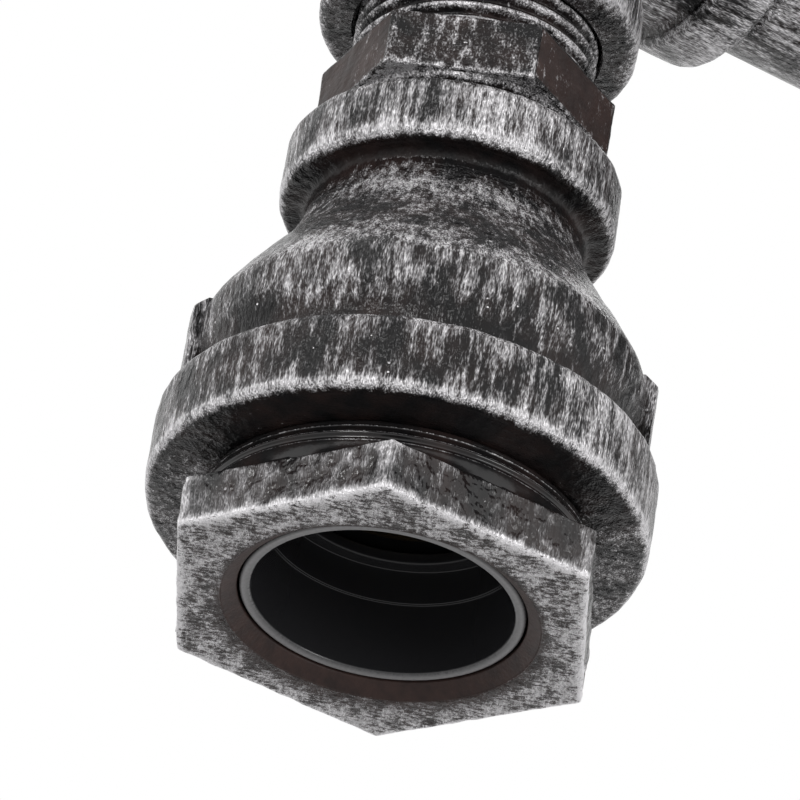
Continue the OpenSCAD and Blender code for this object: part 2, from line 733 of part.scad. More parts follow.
module terminal_screws() color(steel) on_lamp_axis() for (turn = [0, 180]) rotate(turn)
    translate([screw_at, 0, lead_z]) rotate([-90, 0, 0]) {
        shank_in = lead_d / 2 + screw_tip_gap;
        translate([0, 0, shank_in]) cylinder(d = terminal_screw_d, h = block_w / 2 - shank_in);
        difference() {
            translate([0, 0, block_w / 2]) cylinder(d = terminal_head_d, h = terminal_head_t);
            translate([0, 0, block_w / 2 + terminal_head_t])
                cube([2 * terminal_head_d, screw_slot_w, terminal_head_t], center = true);
        }
    }

module threaded_tube() color(steel) on_lamp_axis(tube_low)
    ring(tube_d / 2, tube_bore_d / 2, tube_top - tube_low);

module support_washer() color(steel) on_lamp_axis(ledge_z)
    ring(thread_bore_r - washer_fit, tube_d / 2 + screw_fit, washer_t);

module lock_nuts() color(steel) on_lamp_axis() for (z = [ledge_z - nut_t, tag_top]) translate([0, 0, z])
    difference() {
        hexagon(nut_flats, nut_t, nut_chamfer);
        translate([0, 0, -eps]) cylinder(r = tube_d / 2 + screw_fit, h = nut_t + 2 * eps);
    }

module tube_bush() color(plastic) on_lamp_axis() difference() {
    union() {
        translate([0, 0, tube_top]) cylinder(d = bush_flange_d, h = bush_flange_t);
        translate([0, 0, tube_top - bush_spigot_l])
            cylinder(r = tube_bore_d / 2 - screw_fit, h = bush_spigot_l + eps);
    }
    translate([0, 0, tube_top - bush_spigot_l - eps])
        cylinder(d = bush_bore_d, h = bush_spigot_l + bush_flange_t + 2 * eps);
}

module cap_grub_screw() color(steel) on_lamp_axis(grub_z) rotate([90, 0, 0])
    translate([0, 0, tube_d / 2 + screw_fit]) cylinder(d = grub_d, h = grub_l);

// Ring tag with a tail that carries an upright crimp barrel
module earth_tag() color(brass) on_lamp_axis(washer_top) difference() {
    union() {
        cylinder(d = tag_ring_d, h = tag_t);
        translate([-tag_tail_w / 2, -tag_barrel_at, 0]) cube([tag_tail_w, tag_barrel_at, tag_t]);
        translate([0, -tag_barrel_at, 0]) cylinder(d = tag_barrel_d, h = tag_t + tag_barrel_h);
    }
    translate([0, 0, -eps]) cylinder(r = tube_d / 2 + screw_fit, h = tag_t + 2 * eps);
    translate([0, -tag_barrel_at, tag_t]) cylinder(d = lead_d + 2 * screw_fit, h = tag_barrel_h + eps);
}

// Route of a lead from the top of the holder round the bend to the flange
function bend_route(x, offset) = concat(
    [for (a = [0:15:90]) [x, lamp_y + elbow_bend_r - (elbow_bend_r + offset) * cos(a),
                          -elbow_bend_r + (elbow_bend_r + offset) * sin(a)]],
    [[x, (lamp_y + elbow_bend_r + wall_end_y) / 2, offset], [x, wall_end_y - lead_end_gap, offset]]
);

// Route of a lead from its terminal block up the threaded tube
function block_route(side) = concat(
    [for (p = block_climb) [side * (block_in + p[0]), lamp_y, lead_z + p[1]]],
    [for (p = tube_climb) [side * (lead_half_gap + p[0]), lamp_y, lead_z + p[1]]],
    [for (z = [tube_low + tube_d / 2, tube_top, socket_top]) [side * lead_half_gap, lamp_y, z]],
    bend_route(side * lead_half_gap, 0)
);

module live_lead() color("saddlebrown") swept_tube(block_route(1), lead_d, [0, 1, 0], 8);

module neutral_lead() color("royalblue") swept_tube(block_route(-1), lead_d, [0, 1, 0], 8);

module earth_lead() color("yellowgreen") {
    step_in = tag_barrel_at - earth_offset;
    points = concat(
        [for (p = earth_climb) [0, lamp_y - tag_barrel_at + p[0] * step_in, tag_top + tag_barrel_h + p[1]]],
        bend_route(0, earth_offset)
    );
    swept_tube(points, lead_d, [1, 0, 0], 8);
}

wall_flange();
wall_nipple();
elbow();
hex_nipple();
reducing_socket();
hex_bushing();
lampholder_skirt();
lampholder_cap();
lampholder_insulator();
screw_shell();
shell_rivets();
contact_plunger();
contact_spring();
live_terminal();
neutral_terminal();
terminal_screws();
threaded_tube();
support_washer();
lock_nuts();
tube_bush();
cap_grub_screw();
earth_tag();
live_lead();
neutral_lead();
earth_lead();
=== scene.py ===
# %% [markdown]
# # A pipe wall light, dressed over its CAD frame
# The light is a chain of cast pipe fittings: a flange on the wall, a short pipe, an elbow, a hexagon
# nipple, a reducing socket and a hexagon bushing that frames a black screw lampholder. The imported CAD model
# gives every place and every motion, so this lesson only adds what a drawing leaves out: rounded castings
# with a lumpy skin, cut threads, and a coat of black paint that was dry-brushed with silver.

# %% Load the frame
import json
import math

import bpy
import numpy as np
from mathutils import Matrix, Vector


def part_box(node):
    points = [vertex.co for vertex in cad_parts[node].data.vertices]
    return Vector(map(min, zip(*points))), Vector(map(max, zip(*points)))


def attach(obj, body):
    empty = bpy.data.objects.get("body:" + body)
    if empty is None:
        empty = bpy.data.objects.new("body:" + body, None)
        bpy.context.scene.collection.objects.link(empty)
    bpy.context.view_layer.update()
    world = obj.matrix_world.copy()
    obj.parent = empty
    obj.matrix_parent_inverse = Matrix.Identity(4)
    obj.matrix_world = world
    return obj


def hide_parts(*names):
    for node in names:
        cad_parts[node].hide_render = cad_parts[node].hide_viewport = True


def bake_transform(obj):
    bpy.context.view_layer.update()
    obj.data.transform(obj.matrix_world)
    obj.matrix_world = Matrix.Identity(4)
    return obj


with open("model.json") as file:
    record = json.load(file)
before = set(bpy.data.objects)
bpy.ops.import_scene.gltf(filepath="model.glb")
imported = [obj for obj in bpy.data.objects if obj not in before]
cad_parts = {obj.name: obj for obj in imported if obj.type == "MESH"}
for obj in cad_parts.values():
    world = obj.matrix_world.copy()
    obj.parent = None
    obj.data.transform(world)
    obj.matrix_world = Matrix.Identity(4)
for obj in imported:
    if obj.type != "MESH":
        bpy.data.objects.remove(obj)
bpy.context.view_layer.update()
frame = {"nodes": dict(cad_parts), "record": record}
mm = 0.001

# %% [markdown]
# ## Places from the frame
# The light has two axes. The wall axis is the Y axis, and the lamp axis hangs straight down at the place of
# the lamp socket's mount. Each fitting's ends come from its CAD node's box, so nothing is placed by eye.

# %% Axes and ends
mounts = {m["name"]: m for m in frame["record"]["mounts"]}
lamp_y = mounts["lamp_socket"]["pos_m"][1]
face_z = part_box("hex_bushing")[0].z
socket_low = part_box("reducing_socket")[0].z
nipple_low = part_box("hex_nipple")[0].z
nipple_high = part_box("hex_nipple")[1].z
elbow_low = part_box("elbow")[0].z
elbow_high_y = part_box("elbow")[1].y
pipe_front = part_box("wall_nipple")[0].y
pipe_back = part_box("wall_nipple")[1].y
print("lamp axis at y =", round(lamp_y / mm, 1), "mm, bushing face at z =", round(face_z / mm, 1), "mm")

# %% [markdown]
# ## Camera
# The photograph was taken from below with a long lens, so its lines hardly converge. The view is given as a
# product photographer would note it: the direction, the roll of the camera, the distance, and how far the
# picture's middle lies from the middle of the bushing's face.

# %% Camera
view_azimuth = math.radians(62.0145)
view_elevation = math.radians(-32.3938)
camera_roll = math.radians(9.6257)
camera_distance = 1514.3 * mm
aim_right = 2.566 * mm
aim_up = 28.104 * mm
lens_mm, sensor_mm = 521.77, 36
face_centre = Vector((0, lamp_y, face_z))

view_dir = Vector((
    -math.sin(view_azimuth) * math.cos(view_elevation),
    math.cos(view_azimuth) * math.cos(view_elevation),
    -math.sin(view_elevation),
))
level_right = Vector((math.cos(view_azimuth), math.sin(view_azimuth), 0))
level_up = level_right.cross(view_dir)
view_right = math.cos(camera_roll) * level_right + math.sin(camera_roll) * level_up
view_up = view_right.cross(view_dir)
aim = face_centre + aim_right * view_right + aim_up * view_up

camera = bpy.data.objects.new("camera", bpy.data.cameras.new("camera"))
camera.data.lens = lens_mm
camera.data.sensor_width = sensor_mm
camera.matrix_world = Matrix.Translation(aim - camera_distance * view_dir) @ Matrix((
    view_right, view_up, -view_dir)).transposed().to_4x4()
bpy.context.scene.collection.objects.link(camera)
bpy.context.scene.camera = camera
print("camera at", [round(c, 3) for c in camera.location])


# %% [markdown]
# ## Helpers for node trees
# The world and all finishes are node trees. Written out node by node they would fill pages, so a few
# functions add a node and feed its sockets, each from another socket or with a plain value.

# %% Node helpers
def feed(tree, socket, value):
    """Links a socket to another one, or sets it to a plain value."""
    if isinstance(value, bpy.types.NodeSocket):
        tree.links.new(value, socket)
    else:
        socket.default_value = value


def new_node(tree, kind, *sources, **settings):
    """Adds a node. Sources feed its first inputs, and a setting feeds the input of that name, if there is
    one, or sets the node. Returns the node."""
    node = tree.nodes.new(kind)
    for key, value in settings.items():
        socket = node.inputs.get(key)
        if socket is None:
            setattr(node, key, value)
        else:
            feed(tree, socket, value)
    for socket, value in zip(node.inputs, sources):
        feed(tree, socket, value)
    return node


def math_node(tree, operation, a, b, clamp=False):
    """Adds a Math node; a and b are sockets or numbers. Returns its output."""
    return new_node(tree, "ShaderNodeMath", a, b, operation=operation, use_clamp=clamp).outputs[0]


def mix_number(tree, factor, a, b):
    """A number that goes from a to b with the factor."""
    return new_node(tree, "ShaderNodeMapRange", factor, 0, 1, a, b).outputs[0]


def mix_colour(tree, factor, a, b):
    """Mixes two colours, each a socket or four numbers. Returns the colour."""
    node = new_node(tree, "ShaderNodeMix", factor, data_type="RGBA")
    feed(tree, node.inputs[6], a)
    feed(tree, node.inputs[7], b)
    return node.outputs[2]


def stretched_noise(tree, place, across, along, detail, roughness):
    """Noise with features of that size in mm, across and along the third axis. Returns its value."""
    per_metre = (1 / (across * mm), 1 / (across * mm), 1 / (along * mm))
    scaled = new_node(tree, "ShaderNodeVectorMath", place, per_metre, operation="MULTIPLY")
    return new_node(tree, "ShaderNodeTexNoise", Vector=scaled.outputs[0], Scale=1.0, Detail=detail,
                    Roughness=roughness).outputs[0]


print("node helpers ready")


# %% Finish helpers
def new_finish(name):
    """A new material and its node tree."""
    finish = bpy.data.materials.new(name)
    finish.use_nodes = True
    return finish, finish.node_tree


def set_shader(tree, sources, height=None, depth=0.0):
    """Feeds the inputs of a material's shader, and its normal from a bump of that depth in mm."""
    shader = tree.nodes["Principled BSDF"]
    for key, value in sources.items():
        feed(tree, shader.inputs[key], value)
    if height is not None:
        bump = new_node(tree, "ShaderNodeBump", Strength=1.0, Distance=depth * mm, Height=height)
        feed(tree, shader.inputs["Normal"], bump.outputs[0])


def own_attribute(tree, name):
    """The outputs of an attribute that the piece's vertices carry."""
    return new_node(tree, "ShaderNodeAttribute", attribute_type="GEOMETRY", attribute_name=name).outputs


def object_place(tree):
    """The place on the piece, which rides with it."""
    return new_node(tree, "ShaderNodeTexCoord").outputs["Object"]


def enlarged(tree, place, times):
    """The place for a pattern that is to come out that many times as large."""
    return new_node(tree, "ShaderNodeVectorMath", place, operation="SCALE", Scale=1 / times).outputs[0]


def new_group(name, inputs, outputs):
    """Starts a shader node group, in which "Lay" is a vector and any other socket a number. Returns its
    tree, the sockets that it is given and those that it makes."""
    tree = bpy.data.node_groups.new(name, "ShaderNodeTree")
    for side, sockets in (("INPUT", inputs), ("OUTPUT", outputs)):
        for socket in sockets:
            kind = "NodeSocketVector" if socket == "Lay" else "NodeSocketFloat"
            tree.interface.new_socket(socket, in_out=side, socket_type=kind)
    return tree, tree.nodes.new("NodeGroupInput").outputs, tree.nodes.new("NodeGroupOutput").inputs


def place_group(tree, group, **sources):
    """Puts a node group in a material and feeds its inputs. Returns its outputs."""
    return new_node(tree, "ShaderNodeGroup", node_tree=group, **sources).outputs


print("finish helpers ready")

# %% [markdown]
# ## Floor, background and light
# A wall light hangs high, so the pale floor lies far below it and never stands between the light and a
# camera that looks up. The background is white because the world is white for camera, glossy and
# transmission rays only. Diffuse rays see a softer world, and three large soft lamps do the modelling.

# %% Floor
floor_drop = 4.2
floor_size = 16
bpy.ops.object.select_all(action="DESELECT")
bpy.ops.mesh.primitive_plane_add(size=floor_size, location=(0, lamp_y, -floor_drop))
floor = bpy.context.object
floor.name = "floor"
pale_floor, floor_tree = new_finish("pale_floor")
set_shader(floor_tree, {"Base Color": (0.86, 0.86, 0.86, 1), "Roughness": 0.8})
floor.data.materials.append(pale_floor)
print("floor", floor_drop, "m below the elbow")

# %% World
soft_level = 0.55
pure_white = (1, 1, 1, 1)
bpy.context.scene.view_settings.view_transform = "Standard"
world = bpy.data.worlds.new("white_surround")
bpy.context.scene.world = world
world.use_nodes = True
sky = world.node_tree
sky.nodes.clear()
ray = sky.nodes.new("ShaderNodeLightPath").outputs
seen = math_node(sky, "MAXIMUM", ray["Is Camera Ray"], ray["Is Glossy Ray"])
seen = math_node(sky, "MAXIMUM", seen, ray["Is Transmission Ray"])
soft_sky = new_node(sky, "ShaderNodeBackground", pure_white, soft_level)
white_sky = new_node(sky, "ShaderNodeBackground", pure_white, 1)
either_sky = new_node(sky, "ShaderNodeMixShader", seen, soft_sky.outputs[0], white_sky.outputs[0])
new_node(sky, "ShaderNodeOutputWorld", either_sky.outputs[0])
print("world set to", soft_level, "for diffuse rays")


# %% Lamps
def soft_lamp(name, right, up, back, size, watts):
    """Adds a square lamp that looks at the light, some metres right of, above and before its middle."""
    lamp = bpy.data.objects.new(name, bpy.data.lights.new(name, "AREA"))
    lamp.data.size = size
    lamp.data.energy = watts
    lamp.location = aim + right * view_right + up * view_up - back * view_dir
    lamp.rotation_euler = (aim - lamp.location).to_track_quat("-Z", "Y").to_euler()
    bpy.context.scene.collection.objects.link(lamp)
    print(name, "at", [round(c, 2) for c in lamp.location], watts, "W")


soft_lamp("key_lamp", -0.6, 1.4, 0.85, 0.45, 12)
soft_lamp("fill_lamp", 1.1, 0.1, 0.9, 0.6, 5)
soft_lamp("rim_lamp", 0.3, 0.6, -1.2, 0.8, 4)

# %% [markdown]
# ## Finish: silver dry-brushed over black
# A nearly dry brush was dragged along each fitting. It left silver on every edge that stands out and broken
# streaks along the pipe's axis, and never reached the undercuts. A photograph could be wrapped round, but
# it would not fit the other sides. So shader groups draw it: one is the grain that the sand of the mould
# left, one draws the streaks from stretched noise, fullest where the grain stands up. Each vertex carries
# two attributes: "lay", its place with the pipe straightened out, and "silver", the brush's touch.

# %% Cast grain group
lump_w, lump_l = 1.4, 1.8
sand_w, sand_l = 0.3, 1.6


def cast_grain():
    """The skin that the mould left: lumps, with a share of sand in them."""
    tree, given, made = new_group("cast_grain", ("Lay", "Sand"), ("Height",))
    lumps = stretched_noise(tree, given["Lay"], lump_w, lump_l, 2, 0.5)
    sand = stretched_noise(tree, given["Lay"], sand_w, sand_l, 2, 0.6)
    fine = math_node(tree, "MULTIPLY", math_node(tree, "SUBTRACT", sand, lumps), given["Sand"])
    feed(tree, made["Height"], math_node(tree, "ADD", lumps, fine))
    return tree


grain_group = cast_grain()
print(grain_group.name, "group:", len(grain_group.nodes), "nodes")

# %% Dry-brush group
streak_w, streak_l = 0.9, 6.5
cluster_w, cluster_l = 6, 10
fleck_w, fleck_l = 0.2, 0.75
streak_pull, cluster_pull, fleck_pull, grain_pull = 2.5, 1.6, 1.25, 0.7
thin_level, full_level = 0.2, 1.18


def dry_brush():
    """The silver that a dry brush leaves: its touch, pulled up and down by three noises and the grain."""
    tree, given, made = new_group(
        "dry_brush", ("Lay", "Touch", "Grain", "Swing"), ("Silver", "Patch", "Fleck"))
    streak = stretched_noise(tree, given["Lay"], streak_w, streak_l, 3, 0.7)
    cluster = stretched_noise(tree, given["Lay"], cluster_w, cluster_l, 2, 0.6)
    fleck = stretched_noise(tree, given["Lay"], fleck_w, fleck_l, 1, 0.5)
    level = given["Touch"]
    for noise, pull in ((streak, streak_pull), (cluster, cluster_pull), (fleck, fleck_pull),
                        (given["Grain"], grain_pull)):
        share = math_node(tree, "MULTIPLY", math_node(tree, "SUBTRACT", noise, 0.5), pull)
        level = math_node(tree, "ADD", level, math_node(tree, "MULTIPLY", share, given["Swing"]))
    edge = new_node(tree, "ShaderNodeMapRange", level, thin_level, full_level,
                    interpolation_type="SMOOTHSTEP")
    feed(tree, made["Silver"], edge.outputs[0])
    feed(tree, made["Patch"], cluster)
    feed(tree, made["Fleck"], fleck)
    return tree


brush_group = dry_brush()
print(brush_group.name, "group:", len(brush_group.nodes), "nodes")

# %% [markdown]
# ### Speckle
# Where the brush only flicked over the surface it left tiny dots. They come from Voronoi cells: a cell
# shows a dot only if its own random number is low enough.

# %% Speckle group
speck_cell = 0.8 * mm
speck_d = 0.3


def paint_specks():
    """Dots in a share of the cells, each with its own size."""
    tree, given, made = new_group("paint_specks", ("Lay", "Share"), ("Specks",))
    cells = new_node(tree, "ShaderNodeTexVoronoi", Vector=given["Lay"], Scale=1 / speck_cell)
    lot = new_node(tree, "ShaderNodeSeparateColor", cells.outputs["Color"])
    chosen = math_node(tree, "LESS_THAN", lot.outputs[0], given["Share"])
    dot_size = math_node(tree, "MULTIPLY", lot.outputs[1], speck_d)
    dot = math_node(tree, "LESS_THAN", cells.outputs["Distance"], dot_size)
    feed(tree, made["Specks"], math_node(tree, "MULTIPLY", chosen, dot))
    return tree


speck_group = paint_specks()
print(speck_group.name, "group:", len(speck_group.nodes), "nodes")

# %% [markdown]
# ### Painted iron
# One recipe serves every fitting: the brush group decides between black paint and silver, the patch noise
# lets some red-brown primer through, and the grain group drives a bump. The silver's brightness varies with
# painted glints. Each copy has its own values: the face of the bushing was wiped crosswise, so a Mapping node
# turns its streaks, its sides have thick glossy paint with lumps, the collar is smooth, and the seat in its
# mouth and some flats of the nipple show primer; on one of those flats the primer and the missing silver are
# painted shade.

# %% Painted iron
stroke_angle = math.radians(62)
stroke_fine, stroke_short = 0.6, 0.22
speck_share, flick_from = 0.03, -0.1
paint_gloss = 0.2
full_touch = 0.8
thick_relief, flake_relief = 0.3, 0.35
silver_rough, silver_metal = 0.36, 0.45
black_paint = (0.010, 0.0095, 0.010, 1)
brown_primer = (0.050, 0.029, 0.025, 1)
# the two ends of the silver's painted glint
silver_between_glints = (0.36, 0.35, 0.36, 1)
silver_glint = (0.94, 0.92, 0.94, 1)


def painted_iron(name, stroke_turn=None, primer=0.3, bump_mm=0.95, sand=0.25, coarse=1.0, lump=1.0,
                 ridge=1.0, swing=1.0, glint_mottle=0.0, gloss=paint_gloss, smooth=0.17):
    """Black paint under dry-brushed silver. stroke_turn turns the strokes into the XY plane, in radians.
    coarse and lump enlarge the pattern and its grain, ridge and swing strengthen the pull of the grain and
    of all the noise. The mottling argument paints glints: it makes the silver brighter where the brush
    pressed on and where the grain stands up."""
    finish, tree = new_finish(name)
    if stroke_turn is None:
        place = own_attribute(tree, "lay")["Vector"]
    else:
        place = new_node(tree, "ShaderNodeMapping", object_place(tree), vector_type="TEXTURE",
                         Rotation=(0, math.radians(90), stroke_turn),
                         Scale=(stroke_fine, stroke_fine, stroke_short)).outputs[0]
    place = enlarged(tree, place, coarse)
    touch = own_attribute(tree, "silver")["Fac"]
    grain = place_group(tree, grain_group, Lay=enlarged(tree, place, lump), Sand=sand)["Height"]
    ridges = mix_number(tree, grain, 0.5 - 0.5 * ridge, 0.5 + 0.5 * ridge)
    brush = place_group(tree, brush_group, Lay=place, Touch=touch, Grain=ridges, Swing=swing)
    specks = place_group(tree, speck_group, Lay=place, Share=speck_share)["Specks"]
    flicked = math_node(tree, "MULTIPLY", specks, math_node(tree, "GREATER_THAN", touch, flick_from))
    silver = math_node(tree, "MAXIMUM", brush["Silver"], flicked)

    bare = mix_number(tree, brush["Patch"], primer - 0.9, primer + 0.6)
    under = mix_colour(tree, bare, black_paint, brown_primer)
    pressed = math_node(tree, "ADD", mix_number(tree, grain, -1, 1),
                        math_node(tree, "SUBTRACT", touch, full_touch))
    # painted glints: the silver's colour goes from dark to bright with the fleck noise, brighter on the
    # grain's high spots and where the brush pressed on
    varied = math_node(tree, "ADD", brush["Fleck"], math_node(tree, "MULTIPLY", pressed, glint_mottle))
    glint = mix_number(tree, varied, -0.5, 1.5)
    silver_paint = mix_colour(tree, glint, silver_between_glints, silver_glint)

    flakes = math_node(tree, "MULTIPLY", silver, math_node(tree, "MULTIPLY", brush["Fleck"], flake_relief))
    rubbed = mix_number(tree, math_node(tree, "ADD", touch, 0.6), thick_relief, 1)
    relief = math_node(tree, "MULTIPLY", math_node(tree, "ADD", grain, flakes), rubbed)
    set_shader(tree, {
        "Base Color": mix_colour(tree, silver, under, silver_paint),
        "Roughness": mix_number(tree, silver, smooth, silver_rough),
        "Metallic": mix_number(tree, silver, 0.0, silver_metal),
        "Specular IOR Level": gloss,
    }, relief, bump_mm)
    return finish


print("recipe for painted iron ready")

# %% Painted finishes
iron = painted_iron("dry_brushed_iron")
iron_face = painted_iron("dry_brushed_face", stroke_turn=stroke_angle, primer=0.7, bump_mm=0.8, swing=1.5,
                         glint_mottle=0.6)
lumpy_iron = painted_iron("lumpy_iron", bump_mm=1.5, sand=0.12, lump=1.35, ridge=4.0, swing=0.6, glint_mottle=0.5,
                          gloss=0.5, smooth=0.2)
gloss_iron = painted_iron("gloss_iron", bump_mm=0.08, sand=0.1, gloss=0.5, smooth=0.12)
coarse_iron = painted_iron("coarse_iron", coarse=1.3, bump_mm=0.7)
primed_iron = painted_iron("primed_iron", primer=0.75, bump_mm=0.25, gloss=0.13, smooth=0.4)
scraped_iron = painted_iron("scraped_iron", primer=0.95, bump_mm=0.45, coarse=0.35, gloss=0.24, smooth=0.4)
painted = (iron, iron_face, lumpy_iron, gloss_iron, coarse_iron, primed_iron, scraped_iron)
print("painted finishes:", ", ".join(finish.name for finish in painted))


# %% [markdown]
# ## Turned castings
# A socket, a pipe and a flange are turned shapes. They could be stacked from cylinders, but their edges are
# all rounded, so each is drawn as half a section and spun round its axis. A profile is a list of points
# with radius, height and the brush's touch at that point, and long straight stretches get points in between
# so that the lumps of the casting have vertices to move.

# %% Profile helpers
def arc(centre_r, centre_h, radius, start, end, touch_start, touch_end, steps=6):
    """Points of a rounded edge, from one angle to another in degrees."""
    points = []
    for i in range(steps + 1):
        share = i / steps
        angle = math.radians(start + (end - start) * share)
        points.append((centre_r + radius * math.cos(angle), centre_h + radius * math.sin(angle),
                       touch_start + (touch_end - touch_start) * share))
    return points


def rows(r, start, end, step):
    """Profile points on a straight stretch, a step apart, without its first one."""
    count = max(1, round(abs(end - start) / step))
    return [(r, start + (end - start) * i / count) for i in range(1, count + 1)]


def with_steps(profile, step):
    """The profile in metres, with points in between so that none lie further apart than step."""
    dense = []
    for a, b in zip(profile, profile[1:]):
        count = max(1, math.ceil(math.hypot(b[0] - a[0], b[1] - a[1]) / step))
        dense += [tuple(p + (q - p) * i / count for p, q in zip(a, b)) for i in range(count)]
    dense.append(profile[-1])
    return [(r * mm, h * mm, touch) for r, h, touch in dense]


class Axis:
    """An axis that pieces are turned on: it puts a radius and a height in the frame, and back."""

    def __init__(self, start, along):
        self.start = Vector(start)
        self.along = Vector(along)
        self.side = Vector((1, 0, 0))
        self.across = self.along.cross(self.side)

    def point(self, radius, height):
        """The place of a profile's point before the spin."""
        return self.start + radius * self.side + height * self.along

    def lay(self, places):
        """Places on the straightened piece: across, across and along the axis."""
        away = places - np.array(self.start)
        return np.stack([away @ np.array(v) for v in (self.side, self.across, self.along)], 1)

    def around(self, places):
        """The lay of places, and their radii and heights in mm."""
        lay = self.lay(places)
        return lay, np.hypot(lay[:, 0], lay[:, 1]) / mm, lay[:, 2] / mm


def lamp_axis_from(z):
    """The lamp axis, with heights that count up from z."""
    return Axis((0, lamp_y, z), (0, 0, 1))


def wall_axis_from(y):
    """The wall axis, with heights that count out from y."""
    return Axis((0, y, 0), (0, -1, 0))


lamp_axis = lamp_axis_from(0)
face_axis = lamp_axis_from(face_z)
wall_axis = wall_axis_from(0)
print("axes ready")


# %% Drawing and spinning
def settle(name, location=True):
    """Names the active object, moves its place into its mesh and selects all of it, in edit mode."""
    piece = bpy.context.object
    piece.name = name
    bpy.ops.object.transform_apply(location=location, rotation=True, scale=True)
    bpy.ops.object.mode_set(mode="EDIT")
    bpy.ops.mesh.select_mode(type="VERT")
    bpy.ops.mesh.select_all(action="SELECT")
    return piece


def extrude(offset=(0, 0, 0)):
    """Extrudes what is selected, by an offset in metres."""
    bpy.ops.mesh.extrude_region_move(TRANSFORM_OT_translate={"value": offset})


def tidy_shell(piece, smooth_angle=math.radians(40)):
    """Merges doubles, turns all faces outwards and shades the piece smooth up to that angle."""
    bpy.ops.object.mode_set(mode="EDIT")
    bpy.ops.mesh.select_all(action="SELECT")
    bpy.ops.mesh.remove_doubles(threshold=0.002 * mm)
    bpy.ops.mesh.normals_make_consistent(inside=False)
    bpy.ops.object.mode_set(mode="OBJECT")
    bpy.ops.object.select_all(action="DESELECT")
    piece.select_set(True)
    bpy.context.view_layer.objects.active = piece
    bpy.ops.object.shade_smooth_by_angle(angle=smooth_angle)


def turned(name, axis, profile, sides=192):
    """Draws a closed profile, as a vertex that is extruded from point to point, and spins it round."""
    points = [axis.point(r, h) for r, h, touch in profile]
    bpy.ops.object.select_all(action="DESELECT")
    bpy.ops.mesh.primitive_plane_add(size=2 * mm, location=points[0])
    piece = settle(name)
    bpy.ops.mesh.merge(type="CENTER")
    for a, b in zip(points, points[1:]):
        extrude(b - a)
    bpy.ops.mesh.select_all(action="SELECT")
    bpy.ops.mesh.spin(steps=sides, angle=2 * math.pi, center=axis.start, axis=axis.along)
    tidy_shell(piece)
    return piece


def grow_along(profile, axis):
    """Extrudes the selected ring along a profile on an axis, in mm, from the profile's first point."""
    for a, b in zip(profile, profile[1:]):
        extrude(axis.along * ((b[1] - a[1]) * mm))
        factor = b[0] / a[0]
        bpy.ops.transform.resize(value=[1 if c else factor for c in axis.along], center_override=axis.start)


def apply_modifier(piece, kind, **settings):
    """Adds a modifier to a piece, sets it and applies it."""
    bpy.context.view_layer.objects.active = piece
    bpy.ops.object.modifier_add(type=kind)
    modifier = piece.modifiers[-1]
    for key, value in settings.items():
        setattr(modifier, key, value)
    bpy.ops.object.modifier_apply(modifier=modifier.name)


print("modelling helpers ready")


# %% Reading and selecting
def read(elements, key, width=3, kind=float):
    """One row of numbers for each vertex, edge or face of a mesh."""
    values = np.zeros(len(elements) * width, kind)
    elements.foreach_get(key, values)
    return values.reshape(-1, width)


def places_of(piece):
    """The places of a piece's vertices."""
    return read(piece.data.vertices, "co")


def select_where(piece, mode, mask):
    """Selects the vertices, edges or faces of a mask, and leaves the piece in edit mode."""
    bpy.context.view_layer.objects.active = piece
    bpy.ops.object.mode_set(mode="EDIT")
    bpy.ops.mesh.select_mode(type=mode)
    bpy.ops.mesh.select_all(action="DESELECT")
    bpy.ops.object.mode_set(mode="OBJECT")
    elements = {"VERT": piece.data.vertices, "EDGE": piece.data.edges, "FACE": piece.data.polygons}[mode]
    elements.foreach_set("select", np.ascontiguousarray(mask, bool))
    bpy.ops.object.mode_set(mode="EDIT")
    return int(np.sum(mask))


def store(piece, **attributes):
    """Writes the attributes that the finishes read: a number or a vector for each vertex."""
    for name, values in attributes.items():
        values = np.ascontiguousarray(values, np.float32)
        kind, key = ("FLOAT_VECTOR", "vector") if values.ndim == 2 else ("FLOAT", "value")
        piece.data.attributes.new(name, kind, "POINT").data.foreach_set(key, values.ravel())


print("reading helpers ready")


# %% Painting helpers
def touch_from(profile, lay):
    """The brush's touch at each place: that of the nearest profile point."""
    outline = np.array(profile)
    spots = np.stack([np.hypot(lay[:, 0], lay[:, 1]), lay[:, 2]], 1)
    nearest = [np.argmin(((outline[:, :2] - spot) ** 2).sum(1)) for spot in spots]
    return outline[nearest, 2]


def angle_off(lay, *angles):
    """How far each place lies from the nearest of some directions round the axis, in degrees."""
    turn = np.degrees(np.arctan2(lay[:, 1], lay[:, 0]))
    return np.min([np.abs((turn - angle + 180) % 360 - 180) for angle in angles], axis=0)


def near(distance, width):
    """1 at no distance, fading to nothing at about twice the width."""
    return np.exp(-(distance / width) ** 2)


def lumpy(piece, depth, size, where):
    """Moves the skin in and out like a sand casting's. The depth and the size of its lumps are in mm, and
    where is a mask over the vertices."""
    skin = piece.vertex_groups.new()
    skin.add([int(i) for i in np.flatnonzero(where)], 1.0, "REPLACE")
    cloud = bpy.data.textures.new(piece.name + "_lumps", "CLOUDS")
    cloud.noise_scale = size * mm
    cloud.noise_depth = 2
    apply_modifier(piece, "DISPLACE", texture=cloud, texture_coords="LOCAL", strength=depth * mm,
                   vertex_group=skin.name)


def dress(piece, body, slot, node, *finishes):
    """Puts the finishes on a piece and hangs it on the frame in place of its CAD node."""
    for finish in finishes:
        piece.data.materials.append(finish)
    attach(piece, body)
    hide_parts(node)
    piece.data.calc_loop_triangles()
    print(piece.name, "-", len(piece.data.loop_triangles), "triangles")


print("painting helpers ready")

# %% [markdown]
# ## Reducing socket
# The largest casting: a bell with a beaded rim at each end, two ribs for the wrench, a rounded shoulder and
# a hollow neck between the two pipe sizes. Its section is spun in one go, and the ribs are then raised from
# the bell's own faces.

